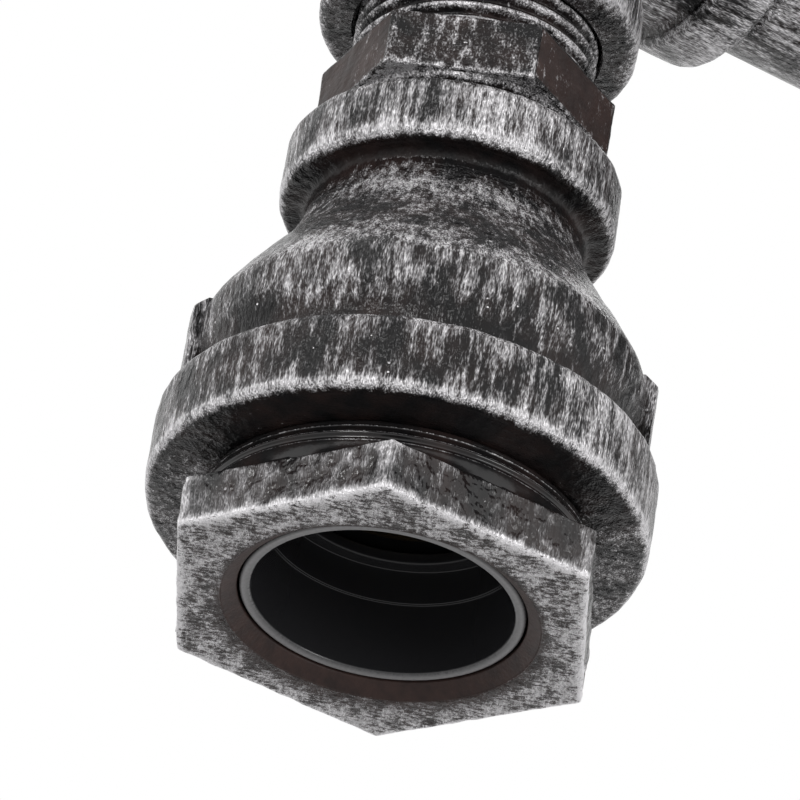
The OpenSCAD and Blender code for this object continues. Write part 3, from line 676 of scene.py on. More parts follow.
# %% Reducing socket: section
socket_l = 57
big_r, big_w = 33.5, 12
bell_r, bell_full_r, bell_h = 29.1, 30.1, 23.8
shoulder_r, shoulder_slope = 5, 35
hollow_low_r, hollow_low_h, hollow_r, neck_slope = 22.8, 36, 26, 12
small_r, small_w = 22.6, 9.6
bead_round, bead_fillet = 1.6, 1.2
pipe_bore_r, big_bore_r = 16.65, 23.95
bell_in_r, bell_in_h = 25.1, 27.93
ledge_r, ledge_h, ledge_t = 13.5, 43.9, 2
thread_recess_h = 15.5
edge_cut = 0.5
hollow_centre_r = hollow_low_r + hollow_r * math.cos(math.radians(shoulder_slope))
hollow_centre_h = hollow_low_h + hollow_r * math.sin(math.radians(shoulder_slope))
neck_r = hollow_centre_r - hollow_r * math.cos(math.radians(neck_slope))
neck_h = hollow_centre_h - hollow_r * math.sin(math.radians(neck_slope))
small_low = socket_l - small_w
slope_points = [(26.8, 30.3, 0.38), (24.8, 33.2, 0.22)]
rubbed_from, rubbed_to = 202, 199

socket_profile = (
    [(big_bore_r + edge_cut, 0, -0.6)]
    + arc(big_r - bead_round, bead_round, bead_round, -90, -45, -0.5, 0.85, 3)
    + arc(big_r - bead_round, bead_round, bead_round, -30, 0, 1.05, 0.95, 2)
    + [(big_r, 1.9, 0.66), (big_r, 2.6, 0.40), (big_r, 5, 0.26), (big_r, 8, 0.26)]
    + arc(big_r - bead_round, big_w - bead_round, bead_round, 0, 90, 0.46, 0.55)
    + arc(bell_r + bead_fillet, big_w + bead_fillet, bead_fillet, 270, 180, -0.5, -0.1)
    + [(bell_r, 15.5, 0.0), (bell_r + 0.4, 17.5, 0.26), (bell_full_r, 20, 0.48)]
    + arc(bell_full_r - shoulder_r, bell_h, shoulder_r, 0, shoulder_slope, 0.50, 0.62)
    + slope_points
    + arc(hollow_centre_r, hollow_centre_h, hollow_r, 180 + shoulder_slope, rubbed_from, 0.26, 0.58)
    + arc(hollow_centre_r, hollow_centre_h, hollow_r, rubbed_to, 180 + neck_slope, 0.56, 0.05, 4)
    + arc(neck_r + bead_fillet, small_low - bead_fillet, bead_fillet, 180, 90, -0.3, -0.5, 4)
    + arc(small_r - bead_round, small_low + bead_round, bead_round, -90, -45, -0.5, 0.8, 3)
    + arc(small_r - bead_round, small_low + bead_round, bead_round, -30, 0, 1.0, 1.0, 2)
    + [(small_r, small_low + 2.2, 0.75), (small_r, small_low + 3, 0.55)]
    + arc(small_r - bead_round, socket_l - bead_round, bead_round, 0, 90, 0.66, 0.4)
    + [(pipe_bore_r + edge_cut, socket_l, 0.3), (pipe_bore_r, socket_l - edge_cut, 0.0)]
    + [(pipe_bore_r, ledge_h, -0.5), (ledge_r, ledge_h, -0.5), (ledge_r, ledge_h - ledge_t, -0.5)]
    + [(bell_in_r, bell_in_h, -0.5), (bell_in_r, thread_recess_h, -0.5)]
    + [(big_bore_r, thread_recess_h, -0.5), (big_bore_r, edge_cut, -0.6), (big_bore_r + edge_cut, 0, -0.6)]
)
socket_axis = lamp_axis_from(socket_low)
socket_points = with_steps(socket_profile, 1.1)
socket = turned("socket_casting", socket_axis, socket_points)
print("socket section:", len(socket_points), "points")

# %% [markdown]
# ### Wrench ribs
# Two flat ribs stand on opposite sides of the bell. They could be separate blocks, but the real ones are
# cast in one with the bell. So the bell's own faces are selected by their place and extruded, and each row
# of them is then pushed away from the axis, the top rows less, so that the rib ends in a slope.

# %% Wrench ribs
rib_angles = (62, 242)
rib_half_angle = 8.4
rib_r, rib_square_h, rib_top = 31.4, 25.8, 27.6
bell_reach = 1.2

centres, centre_r, centre_h = socket_axis.around(read(socket.data.polygons, "center"))
on_bell = (centre_h > big_w) & (centre_h < rib_top) & (np.abs(centre_r - bell_r) < bell_reach)
picked = select_where(socket, "FACE", on_bell & (angle_off(centres, *rib_angles) < rib_half_angle))
extrude()
bpy.ops.object.mode_set(mode="OBJECT")
raised = read(socket.data.vertices, "select", 1, bool)[:, 0]
socket_lay, socket_r, socket_h = socket_axis.around(places_of(socket))
for row in np.unique(np.round(socket_h[raised], 2)):
    in_row = raised & (np.abs(socket_h - row) < 0.01)
    reach = rib_r - max(0, row - rib_square_h)
    select_where(socket, "VERT", in_row)
    push = max(1, reach / socket_r[in_row].mean())
    bpy.ops.transform.resize(value=(push, push, 1), center_override=(0, lamp_y, 0))
tidy_shell(socket)
print("ribs raised from", picked, "faces")

# %% [markdown]
# ### Paint on the socket
# The profile says how hard the brush touched each ring. But the brush came mostly from the front, so the
# touch also changes round the axis: the ribs and the front of the band got more, the bell's flanks less,
# and the flat end was wiped only at the back, where its silver is partly a painted reflection. The pattern
# is stretched over the neck, where it shows finer.

# %% Reducing socket: finish
wiped_from, brushed_from = -28, 20
pattern_shift = 40 * mm
stretch_from, stretch_to = 30, 75

socket_lay, socket_r, socket_h = socket_axis.around(places_of(socket))
socket_touch = touch_from(socket_points, socket_lay)
on_rib = (socket_r > bell_full_r + 0.4) & (socket_h > big_w + 0.3) & (socket_h < rib_top)
rib_touch = np.interp(angle_off(socket_lay, *rib_angles), (rib_half_angle - 3, rib_half_angle), (0.4, 0.85))
socket_touch[on_rib] = rib_touch[on_rib]
on_end = (socket_h < bead_round) & (socket_r < big_r - bead_round / 2)
# silver on the flat end away from its front: partly brushing, partly a painted reflection
wiped_and_reflection = np.interp(angle_off(socket_lay, wiped_from), (30, 85), (-0.6, 0.45))
socket_touch[on_end] = np.maximum(socket_touch, wiped_and_reflection)[on_end]
on_band = (socket_h < big_w) & (socket_r > big_r - 0.3)
brushed = np.interp(angle_off(socket_lay, brushed_from), (0, 40), (0.30, -0.03))
socket_touch[on_band] += brushed[on_band]
above_band = socket_h > big_w + bead_fillet
missed = np.interp(angle_off(socket_lay, wiped_from), (25, 65, 110), (0, 0.2, 0.08))
socket_touch[above_band] -= missed[above_band]
socket_lay[:, 2] = mm * np.interp(socket_h, (0, stretch_from, neck_h, socket_l),
                                  (0, stretch_from, stretch_to, stretch_to + socket_l - neck_h))
store(socket, lay=socket_lay + pattern_shift, silver=socket_touch)
lumpy(socket, 0.35, 3.5, socket_r > neck_r - 0.1)
dress(socket, "head", "cast_iron", "reducing_socket", iron)

# %% [markdown]
# ## Hexagon bushing
# The bushing closes the bell and frames the lampholder. Its hexagon can't be spun, so the outline of the
# face is drawn first: a circle of six vertices, subdivided so that a round ring of as many vertices can
# grow out of it. The outline is lifted for the sides, rounded with To Sphere for the collar, taken through
# the thread and back down the bore to the scraped cone round the holder, and a bridge closes the face.
# Bevels soften the edges as paint does.

# %% Hexagon helpers
side_rows = 6


def lift_hexagon(name, flats, thickness, corner_angle, z, cuts=15):
    """Draws a hexagon round the lamp axis, each side in cuts + 1 edges, and lifts its outline."""
    bpy.ops.object.select_all(action="DESELECT")
    bpy.ops.mesh.primitive_circle_add(vertices=6, radius=flats / math.sqrt(3) * mm, location=(0, lamp_y, z),
                                      rotation=(0, 0, math.radians(corner_angle - 90)))
    piece = settle(name)
    bpy.ops.mesh.subdivide(number_cuts=cuts)
    for i in range(side_rows):
        extrude((0, 0, thickness / side_rows * mm))
    return piece


def round_ring(r):
    """Extrudes the selected hexagon in place and makes it a circle of radius r."""
    extrude()
    bpy.ops.transform.tosphere(value=1)
    bpy.ops.object.mode_set(mode="OBJECT")
    ring = np.array([v.co[:] for v in bpy.context.object.data.vertices if v.select])
    bpy.ops.object.mode_set(mode="EDIT")
    factor = r * mm / np.hypot(ring[:, 0], ring[:, 1] - lamp_y).mean()
    bpy.ops.transform.resize(value=(factor, factor, 1), center_override=(0, lamp_y, 0))


def bridge_face(piece, z, cuts):
    """Closes the gap between the two rings at a height, and tidies the piece."""
    bpy.ops.object.mode_set(mode="OBJECT")
    select_where(piece, "VERT", np.abs(places_of(piece)[:, 2] - z) < 0.001 * mm)
    bpy.ops.mesh.bridge_edge_loops(number_cuts=cuts, interpolation="LINEAR")
    tidy_shell(piece)
    print(piece.name, "-", len(piece.data.polygons), "faces before its bevels")


def hexagon_gaps(lay, flats, corner_angle):
    """How far each place lies inside the nearest side of a hexagon, and from that side's end, in mm."""
    turn = np.degrees(np.arctan2(lay[:, 1], lay[:, 0])) - corner_angle - 30
    turn = np.radians((turn + 30) % 60 - 30)
    r = np.hypot(lay[:, 0], lay[:, 1]) / mm
    return flats / 2 - r * np.cos(turn), flats / math.sqrt(12) - np.abs(r * np.sin(turn))


def soften_hexagon(piece, axis, flats, thickness, corner_angle, width):
    """Bevels the corners and both rims of a hexagon that stands at the axis's start."""
    ends = read(piece.data.edges, "vertices", 2, int)
    lay, radius, height = axis.around(places_of(piece))
    to_side, to_corner = hexagon_gaps(lay, flats, corner_angle)
    on_side = to_side < 0.02
    at_corner = on_side & (to_corner < 0.05)
    at_rim = on_side & ((np.abs(height) < 0.01) | (np.abs(height - thickness) < 0.01))
    picked = select_where(piece, "EDGE", at_corner[ends].all(1) | at_rim[ends].all(1))
    bpy.ops.mesh.bevel(offset=width * mm, segments=2, affect="EDGES", clamp_overlap=True)
    bpy.ops.object.mode_set(mode="OBJECT")
    print("bevelled", picked, "edges of", piece.name)


print("hexagon helpers ready")

# %% Hexagon bushing: shape
hex_flats, hex_t, hex_corner = 54, 7.8, -32
collar_r, collar_l = 26.5, 5.8
collar_rings = ((0, 9.9), (0, 10.2), (0.35, 10.45), (0.35, 10.9), (0, 11.15), (0, 11.5), (0.4, 11.8),
                (0.4, 12.6), (0.3, 13.2))
thread_r, thread_l, thread_cut = 23.9, 14, 1.2
bore_r, mouth_cut = 20.8, 0.5
seat_in_r, seat_low, seat_top = 19.25, 1.5, 2.4
collar_top = hex_t + collar_l
bushing_top = collar_top + thread_l

bushing = lift_hexagon("bushing_casting", hex_flats, hex_t, hex_corner, face_z)
round_ring(collar_r)
grow_along(
    [(collar_r, hex_t)]
    + [(collar_r - depth, h) for depth, h in collar_rings]
    + [(collar_r - 0.6, collar_top - 0.1), (thread_r, collar_top - 0.1)]
    + [(thread_r, bushing_top - thread_cut), (thread_r - thread_cut, bushing_top)]
    + [(bore_r, bushing_top), (bore_r, bushing_top - 2)]
    + [(bore_r, collar_top), (bore_r, 4), (bore_r, seat_top + 0.8), (seat_in_r + 0.3, seat_top + 0.1)]
    + [(seat_in_r, seat_top - 0.2), (seat_in_r, seat_low + 0.15), (seat_in_r + 0.15, seat_low)]
    + [(bore_r + mouth_cut - 0.1, 0.08), (bore_r + mouth_cut, 0)],
    lamp_axis,
)
bridge_face(bushing, face_z, 6)
soften_hexagon(bushing, face_axis, hex_flats, hex_t, hex_corner, 0.7)
apply_modifier(bushing, "SUBSURF", levels=2, render_levels=2)

# %% [markdown]
# ### Paint on the bushing
# The brush left a bright line along each rim and corner of the hexagon, and little between them. One side of
# the hexagon has more silver, partly brushing and partly a painted glint. The face was wiped all over, except
# near the bore, where the seat was scraped clean, most on one side. On the black collar, thin silver lines on
# the crests of the turned rings are painted highlights.

# %% Hexagon bushing: finish
brushed_side, scraped_from = -62, 152
side_silver_and_glint, side_plain = 0.33, 0.18
rim_touch, rim_w, back_touch, back_w = 1.15, 1.1, 0.10, 0.9
corner_touch, corner_w = 0.48, 2.4
face_base, face_rim, face_rim_w, face_scrape = 0.74, 0.60, 0.8, 0.9
highlight_rings, highlight_touch, line_w, bare_touch = (9.0, 10.2, 11.5, 12.6), 1.7, 0.1, -0.8

bushing_lay, radius, height = face_axis.around(places_of(bushing))
to_side, to_corner = hexagon_gaps(bushing_lay, hex_flats, hex_corner)
# one side of the hexagon gets more silver: partly brushing, partly a painted glint
side_touch = (np.where(angle_off(bushing_lay, brushed_side) < 30, side_silver_and_glint, side_plain)
              + rim_touch * near(height, rim_w) + corner_touch * near(to_corner, corner_w)
              + back_touch * near(hex_t - height, back_w))
scraped_w = np.interp(angle_off(bushing_lay, scraped_from), (30, 100), (2.6, 1.0))
face_touch = (face_base + face_rim * near(to_side, face_rim_w)
              - face_scrape * near(radius - bore_r, scraped_w))
# thin silver lines on the collar's ring crests: painted highlights
ring_highlight_touch = sum(highlight_touch * near(height - h, line_w) for h in highlight_rings) * (radius > collar_r - 0.5)
bushing_touch = np.where(height < 0.3, face_touch, side_touch)
off_hexagon = (height > hex_t - 0.2) | (radius < bore_r + 0.4)
bushing_touch = np.where(off_hexagon, ring_highlight_touch + bare_touch, bushing_touch)
store(bushing, lay=lamp_axis.lay(places_of(bushing)), silver=bushing_touch)
on_sides = (height > 1) & (height < hex_t - 0.4) & (to_side < 1)
lumpy(bushing, 0.8, 2.6, on_sides)
lumpy(bushing, 0.3, 3, ~on_sides & (height < hex_t + 0.2) & (radius > bore_r + 0.7))
dress(bushing, "head", "cast_iron", "hex_bushing", gloss_iron, iron_face, scraped_iron, lumpy_iron)

# %% Hexagon bushing: which faces get which finish
collar_slot, face_slot, bore_slot, side_slot = range(4)
centres, centre_r, centre_h = face_axis.around(read(bushing.data.polygons, "center"))
slots = np.where(centre_h < hex_t - 0.1, side_slot, collar_slot)
slots[(centre_h < 0.45) & (centre_r > bore_r + mouth_cut)] = face_slot
slots[centre_r < bore_r + mouth_cut] = bore_slot
bushing.data.polygons.foreach_set("material_index", slots.astype(np.int32))
print("face:", int((slots == face_slot).sum()), "polygons, bore:", int((slots == bore_slot).sum()))

# %% [markdown]
# ## Lampholder skirt
# The holder's front tube is black plastic with a fine step behind its rim and a lip before the shell. It is
# a turned shape too. The cut rim is duller and greyer than the moulded bore, partly from wear and partly as a
# painted highlight, so an attribute on the vertices marks it.

# %% Plastic finish
moulded_black = (0.022, 0.022, 0.024, 1)
worn_and_highlight_grey = (0.32, 0.315, 0.32, 1)


def moulded_plastic(name):
    """Black plastic that is scuffed, and grey where it is worn and where a highlight is painted on its rim.
    """
    finish, tree = new_finish(name)
    scuff = stretched_noise(tree, object_place(tree), 0.5, 3, 3, 0.6)
    wear = own_attribute(tree, "wear")["Fac"]
    # grey on the rim: partly wear, partly a painted highlight
    worn_and_lit = math_node(tree, "MULTIPLY", wear, mix_number(tree, scuff, 0.55, 1.25), clamp=True)
    dulled = math_node(tree, "MULTIPLY", worn_and_lit, 0.2)
    set_shader(tree, {
        "Base Color": mix_colour(tree, worn_and_lit, moulded_black, worn_and_highlight_grey),
        "Roughness": math_node(tree, "ADD", mix_number(tree, scuff, 0.16, 0.28), dulled),
    }, scuff, 0.01)
    return finish


black_plastic = moulded_plastic("black_plastic")
print("finish:", black_plastic.name)

# %% Lampholder skirt
skirt_low = (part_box("lampholder_skirt")[0].z - face_z) / mm
skirt_high = (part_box("lampholder_skirt")[1].z - face_z) / mm
holder_r, rim_in_r, step_in_r = 19.0, 17.45, 17.05
step_h = skirt_low + 10.9
lip_r, lip_low, lip_t, lip_round = 15.0, 17.615, 1.8, 0.3
room_r, seat_r = 16.6, 17.35
seat_h = 38.365
rim_round = 0.5
fine = 0.08
skirt_profile = (
    arc(rim_in_r + rim_round, skirt_low + rim_round, rim_round, 180, 270, 0.0, 0.6, 4)
    + arc(holder_r - rim_round, skirt_low + rim_round, rim_round, -90, 0, 0.95, -0.1, 4)
    + [(holder_r, skirt_high, 0), (seat_r, skirt_high, 0), (seat_r, seat_h, 0), (room_r, seat_h, 0)]
    + [(room_r, lip_low + lip_t, 0)]
    + arc(lip_r + lip_round, lip_low + lip_t - lip_round, lip_round, 90, 180, 0, 0, 4)
    + arc(lip_r + lip_round, lip_low + lip_round, lip_round, 180, 270, 0, 0, 4)
    + [(step_in_r - fine, lip_low, 0), (step_in_r, lip_low - fine, 0), (step_in_r, step_h + fine, 0)]
    + [(step_in_r + fine, step_h, 0), (rim_in_r - fine, step_h, 0), (rim_in_r, step_h - fine, 0)]
    + [(rim_in_r, skirt_low + rim_round, 0)]
)
skirt_points = with_steps(skirt_profile, 6)
skirt = turned("holder_skirt", face_axis, skirt_points, 160)
store(skirt, wear=touch_from(skirt_points, face_axis.lay(places_of(skirt))))
dress(skirt, "head", "black_plastic", "lampholder_skirt", black_plastic)

# %% [markdown]
# ## Hexagon nipple
# A short threaded piece with a hexagon in its middle joins the socket to the elbow. It is grown from the
# hexagon's outline like the bushing. The thread is cut afterwards: the rings in view lie a sixth of a pitch
# apart, and each vertex moves in by a wave that climbs one pitch for each turn.

# %% Thread helper
pipe_pitch, thread_depth = 2.309, 1.25
pipe_thread_r, thread_start = 16.6, 1.2
thread_row = pipe_pitch / 6


def cut_thread(piece, axis, start, end):
    """Cuts a pipe thread into the vertices that lie on its crest between two heights in mm."""
    places = places_of(piece)
    lay, r, h = axis.around(places)
    turn = np.arctan2(lay[:, 1], lay[:, 0]) / (2 * math.pi)
    wave = 0.5 - 0.5 * np.cos(2 * math.pi * (h / pipe_pitch - turn))
    cut = (np.abs(r - pipe_thread_r) < 0.02) & (h > start) & (h < end)
    inward = np.where(cut, thread_depth * wave / r, 0)[:, None]
    outward = lay[:, :1] * np.array(axis.side) + lay[:, 1:2] * np.array(axis.across)
    piece.data.vertices.foreach_set("co", (places - inward * outward).ravel())
    piece.data.update()
    print("thread cut into", int(cut.sum()), "vertices of", piece.name)


def thread_touch(radius, root_touch, crest_touch):
    """The brush's touch on a thread, from its root to near its crest."""
    return np.interp(radius, (pipe_thread_r - thread_depth, pipe_thread_r - 0.2), (root_touch, crest_touch))


print("thread pitch", pipe_pitch, "mm")

# %% Hexagon nipple: shape
nipple_flats, nipple_t, nipple_corner = 34.6, 8.6, -4
nipple_bore_r = 12.5
shown_above, shown_below = 7.6, 4.8
hex_low_z = elbow_low - (shown_above + nipple_t) * mm
nipple_up = (nipple_high - hex_low_z) / mm
nipple_down = (nipple_low - hex_low_z) / mm
fine_to, fine_from = nipple_t + shown_above + pipe_pitch, -shown_below - pipe_pitch

nipple_axis = lamp_axis_from(hex_low_z)
nipple = lift_hexagon("nipple_casting", nipple_flats, nipple_t, nipple_corner, hex_low_z)
round_ring(pipe_thread_r)
grow_along(
    [(pipe_thread_r, nipple_t)]
    + rows(pipe_thread_r, nipple_t, fine_to, thread_row)
    + rows(pipe_thread_r, fine_to, nipple_up - thread_start, 4)
    + [(pipe_thread_r - thread_start, nipple_up), (nipple_bore_r, nipple_up)]
    + rows(nipple_bore_r, nipple_up, nipple_down, 6)
    + [(pipe_thread_r - thread_start, nipple_down), (pipe_thread_r, nipple_down + thread_start)]
    + rows(pipe_thread_r, nipple_down + thread_start, fine_from, 3)
    + rows(pipe_thread_r, fine_from, 0, thread_row),
    nipple_axis,
)
bridge_face(nipple, hex_low_z, 1)
cut_thread(nipple, nipple_axis, nipple_t + 0.3, nipple_up - thread_start - 0.1)
cut_thread(nipple, nipple_axis, nipple_down + thread_start + 0.1, -0.3)
soften_hexagon(nipple, nipple_axis, nipple_flats, nipple_t, nipple_corner, 0.5)
apply_modifier(nipple, "SUBSURF", levels=1, render_levels=1)

# %% Hexagon nipple: finish
# flats with primer and less silver: real primer, and on the flat at -94 degrees also painted shade
bare_and_shaded_flats, bare_half_angle = (26, 206, -94), 29
nipple_side, nipple_rim, nipple_back, nipple_rim_w = 0.12, 0.70, 0.25, 0.7
nipple_edge, nipple_edge_w, flat_edge = 0.3, 0.8, 0.4
missed_and_shaded_touch, under_touch = 0.3, -0.6
along_stretch = np.array((1, 1, 2.4))

nipple_lay, radius, height = nipple_axis.around(places_of(nipple))
to_side, to_corner = hexagon_gaps(nipple_lay, nipple_flats, nipple_corner)
in_hexagon = nipple_flats / 2 - pipe_thread_r - 0.15
on_hexagon = (height > -0.1) & (height < nipple_t + 0.1) & (to_side < in_hexagon)
hexagon_touch = (nipple_side + nipple_rim * near(height, nipple_rim_w)
                 + nipple_back * near(nipple_t - height, nipple_rim_w)
                 + nipple_edge * near(to_corner, nipple_edge_w))
hexagon_touch[angle_off(nipple_lay, *bare_and_shaded_flats) < bare_half_angle] -= missed_and_shaded_touch
hexagon_touch[(height < 0.2) & (to_side > 0.5)] = under_touch
nipple_touch = np.where(on_hexagon, hexagon_touch, thread_touch(radius, -0.3, 0.85))
store(nipple, lay=nipple_lay * along_stretch, silver=nipple_touch)
lumpy(nipple, 0.3, 2.5, on_hexagon)
dress(nipple, "head", "cast_iron", "hex_nipple", coarse_iron, primed_iron)

centres, centre_r, centre_h = nipple_axis.around(read(nipple.data.polygons, "center"))
on_flat = hexagon_gaps(centres, nipple_flats, nipple_corner)[0] < flat_edge
on_flat &= (centre_h > flat_edge) & (centre_h < nipple_t - flat_edge)
# primer on these flats; on the flat at -94 degrees it is painted shade
bare = on_flat & (angle_off(centres, *bare_and_shaded_flats) < bare_half_angle)
nipple.data.polygons.foreach_set("material_index", bare.astype(np.int32))
print("bare flats:", int(bare.sum()), "polygons")

# %% [markdown]
# ## Elbow
# The elbow turns the pipe from the wall down to the lamp. A ring is grown along the lamp arm with its
# rounded bead, spun a quarter turn round the bend's centre, grown along the wall arm, and then brought back
# the same way inside, so the wall has its thickness and both mouths are open. The "lay" attribute counts
# along the bend, so the brush strokes follow it.

# %% Elbow: shape
elbow_reach, bend_r = 39, 24
elbow_band_r, elbow_band_w, arm_r, elbow_r = 21.7, 8.6, 19.5, 19.2
elbow_bore_r, bore_depth, arm_way_r, way_r = 16.65, 14, 14.8, 14.5
arm_l = elbow_reach - bend_r
bend_l = bend_r * math.pi / 2

arm_out = (
    [(elbow_bore_r + edge_cut, 0, 0.25)]
    + arc(elbow_band_r - bead_round, bead_round, bead_round, -90, 0, 0.25, 1.0)
    + [(elbow_band_r, 2.6, 0.85), (elbow_band_r, 4.5, 0.6)]
    + arc(elbow_band_r - bead_round, elbow_band_w - bead_round, bead_round, 0, 90, 0.66, 0.5)
    + arc(arm_r + bead_fillet, elbow_band_w + bead_fillet, bead_fillet, 270, 180, 0.1, 0.3)
    + [(arm_r, arm_l - 2, 0.48), (elbow_r, arm_l, 0.5)]
)
arm_in = [(way_r, arm_l), (arm_way_r, arm_l - 0.5), (arm_way_r, bore_depth), (elbow_bore_r, bore_depth),
          (elbow_bore_r, edge_cut), (elbow_bore_r + edge_cut, 0)]
lamp_arm = lamp_axis_from(elbow_low)
wall_arm = wall_axis_from(elbow_high_y)
bend_centre = Vector((0, lamp_y + bend_r * mm, -bend_r * mm))

bpy.ops.object.select_all(action="DESELECT")
bpy.ops.mesh.primitive_circle_add(vertices=128, radius=arm_out[0][0] * mm, location=lamp_arm.start)
elbow = settle("elbow_casting")
grow_along(arm_out, lamp_arm)
bpy.ops.mesh.spin(steps=32, angle=math.pi / 2, center=bend_centre, axis=(1, 0, 0))
grow_along(arm_out[::-1] + arm_in[::-1], wall_arm)
bpy.ops.mesh.spin(steps=24, angle=math.pi / 2, center=bend_centre, axis=(-1, 0, 0))
grow_along(arm_in, lamp_arm)
tidy_shell(elbow)
print("elbow:", len(elbow.data.polygons), "faces")

# %% Elbow: finish
places = places_of(elbow)
from_bend = places - np.array(bend_centre)
bend_turn = np.clip(np.arctan2(from_bend[:, 2], -from_bend[:, 1]), 0, math.pi / 2)
zones = [from_bend[:, 2] <= 0, from_bend[:, 1] < 0]
run = np.select(zones, [places[:, 2] - elbow_low, (arm_l + bend_r * bend_turn) * mm],
                (arm_l + bend_l) * mm + from_bend[:, 1])
inward = np.select(zones, [places[:, 1] - lamp_y, bend_r * mm - np.hypot(from_bend[:, 1], from_bend[:, 2])],
                   -places[:, 2])
elbow_lay = np.stack([places[:, 0], inward, run], 1)
elbow_l = 2 * arm_l + bend_l
far_arm = [(r, elbow_l - h, touch) for r, h, touch in arm_out[::-1]]
elbow_points = with_steps(arm_out + [(elbow_r, elbow_l / 2, 0.55)] + far_arm, 1)
radius = np.hypot(elbow_lay[:, 0], elbow_lay[:, 1]) / mm
elbow_touch = np.where(radius < elbow_bore_r + 0.2, -0.4, touch_from(elbow_points, elbow_lay))
store(elbow, lay=elbow_lay, silver=elbow_touch)
lumpy(elbow, 0.35, 3.5, radius > elbow_r - 0.3)
dress(elbow, "head", "cast_iron", "elbow", iron)

# %% [markdown]
# ## Wall pipe
# A pipe nipple with a thread at each end stands between the elbow and the flange. It is turned, with close
# rows where the thread shows.

# %% Wall pipe
pipe_r, pipe_bore = 16.85, 13.65
pipe_l = (pipe_back - pipe_front) / mm
wall_end = 17.5
front_end = pipe_l - 16
run_out = 0.4
shown_turns = 3 * pipe_pitch
pipe_profile = (
    [(pipe_bore, 0), (pipe_thread_r - thread_start, 0), (pipe_thread_r, thread_start)]
    + rows(pipe_thread_r, thread_start, wall_end - shown_turns, 3)
    + rows(pipe_thread_r, wall_end - shown_turns, wall_end, thread_row)
    + [(pipe_r, wall_end + run_out)]
    + rows(pipe_r, wall_end + run_out, front_end - run_out, 2)
    + [(pipe_thread_r, front_end)]
    + rows(pipe_thread_r, front_end, front_end + shown_turns, thread_row)
    + rows(pipe_thread_r, front_end + shown_turns, pipe_l - thread_start, 3)
    + [(pipe_thread_r - thread_start, pipe_l), (pipe_bore, pipe_l)]
    + rows(pipe_bore, pipe_l, 0, 8)
)
pipe_axis = wall_axis_from(pipe_back)
pipe = turned("wall_pipe", pipe_axis, [(r * mm, h * mm, 0) for r, h in pipe_profile], 144)
cut_thread(pipe, pipe_axis, thread_start + 0.1, wall_end)
cut_thread(pipe, pipe_axis, front_end, pipe_l - thread_start - 0.1)
pipe_lay, radius, height = pipe_axis.around(places_of(pipe))
store(pipe, lay=pipe_lay, silver=thread_touch(radius, -0.5, 0.52))
dress(pipe, "wall", "pipe_steel", "wall_nipple", iron)

# %% [markdown]
# ## Wall flange
# The flange is a round plate with a threaded hub and four screw holes. The body is turned, and a Boolean
# modifier drills the holes with one cutter that is copied round the pitch circle. The plate was brushed
# straight across, so its "lay" is turned there.

# %% Wall flange: shape
flange_r, plate_t, flange_h = 49, 6, 24
hub_r, hub_fillet = 22.5, 5
cable_way_r, thread_floor = 14, 8.5
hole_r, hole_circle = 3.25, 37
flange_profile = (
    [(cable_way_r, 0, 0.0), (flange_r - 0.6, 0, 0.1), (flange_r, 0.6, 0.6)]
    + [(flange_r, 2, 0.6)]
    + arc(flange_r - bead_round, plate_t - bead_round, bead_round, 0, 90, 0.9, 0.9)
    + [(flange_r - 6, plate_t, 0.55), (flange_r - 14, plate_t, 0.5)]
    + arc(hub_r + hub_fillet, plate_t + hub_fillet, hub_fillet, 270, 180, 0.35, 0.42, 8)
    + [(hub_r, flange_h - 5, 0.52)]
    + arc(hub_r - bead_round, flange_h - bead_round, bead_round, 0, 90, 0.9, 0.9)
    + [(pipe_bore_r + edge_cut, flange_h, 0.4), (pipe_bore_r, flange_h - edge_cut, -0.3)]
    + [(pipe_bore_r, thread_floor, -0.4), (cable_way_r, thread_floor, -0.4), (cable_way_r, 0, 0.0)]
)
flange_points = with_steps(flange_profile, 1.4)
flange = turned("flange_casting", wall_axis, flange_points)

hole_out = hole_circle * mm * math.cos(math.pi / 4)
bpy.ops.object.select_all(action="DESELECT")
bpy.ops.mesh.primitive_cylinder_add(vertices=48, radius=hole_r * mm, depth=4 * plate_t * mm,
                                    location=(hole_out, 0, hole_out), rotation=(math.pi / 2, 0, 0))
drill = settle("drill")
for quarter in range(3):
    bpy.ops.mesh.duplicate()
    bpy.ops.transform.rotate(value=math.pi / 2, orient_axis="Y", center_override=(0, 0, 0))
bpy.ops.object.mode_set(mode="OBJECT")
apply_modifier(flange, "BOOLEAN", object=drill, operation="DIFFERENCE", solver="EXACT")
bpy.data.objects.remove(drill)
tidy_shell(flange)
print("flange:", len(flange.data.polygons), "faces")

# %% Wall flange: finish
flange_lay, radius, height = wall_axis.around(places_of(flange))
on_plate = (radius > hub_r + hub_fillet) & (height > plate_t - 0.3)
store(flange, lay=np.where(on_plate[:, None], flange_lay[:, ::-1], flange_lay),
      silver=touch_from(flange_points, flange_lay))
on_front = (radius > hub_r - 0.3) & (radius < flange_r - 0.1) & (height > plate_t - 0.5)
lumpy(flange, 0.35, 4, on_front | (radius > flange_r - 0.1))
dress(flange, "wall", "cast_iron", "wall_flange", iron)


# %% [markdown]
# ## Inside the holder
# The shell, contact, terminals, tube and wires keep their CAD shapes, which are right already, and only get
# finishes. One recipe makes the metals: rolled sheet and drawn wire show faint lines along the axis,
# with blotches where fingers and heat have dulled them. The screw shell and its rivets get a nearly black
# brass, which is painted shade deep inside the holder.

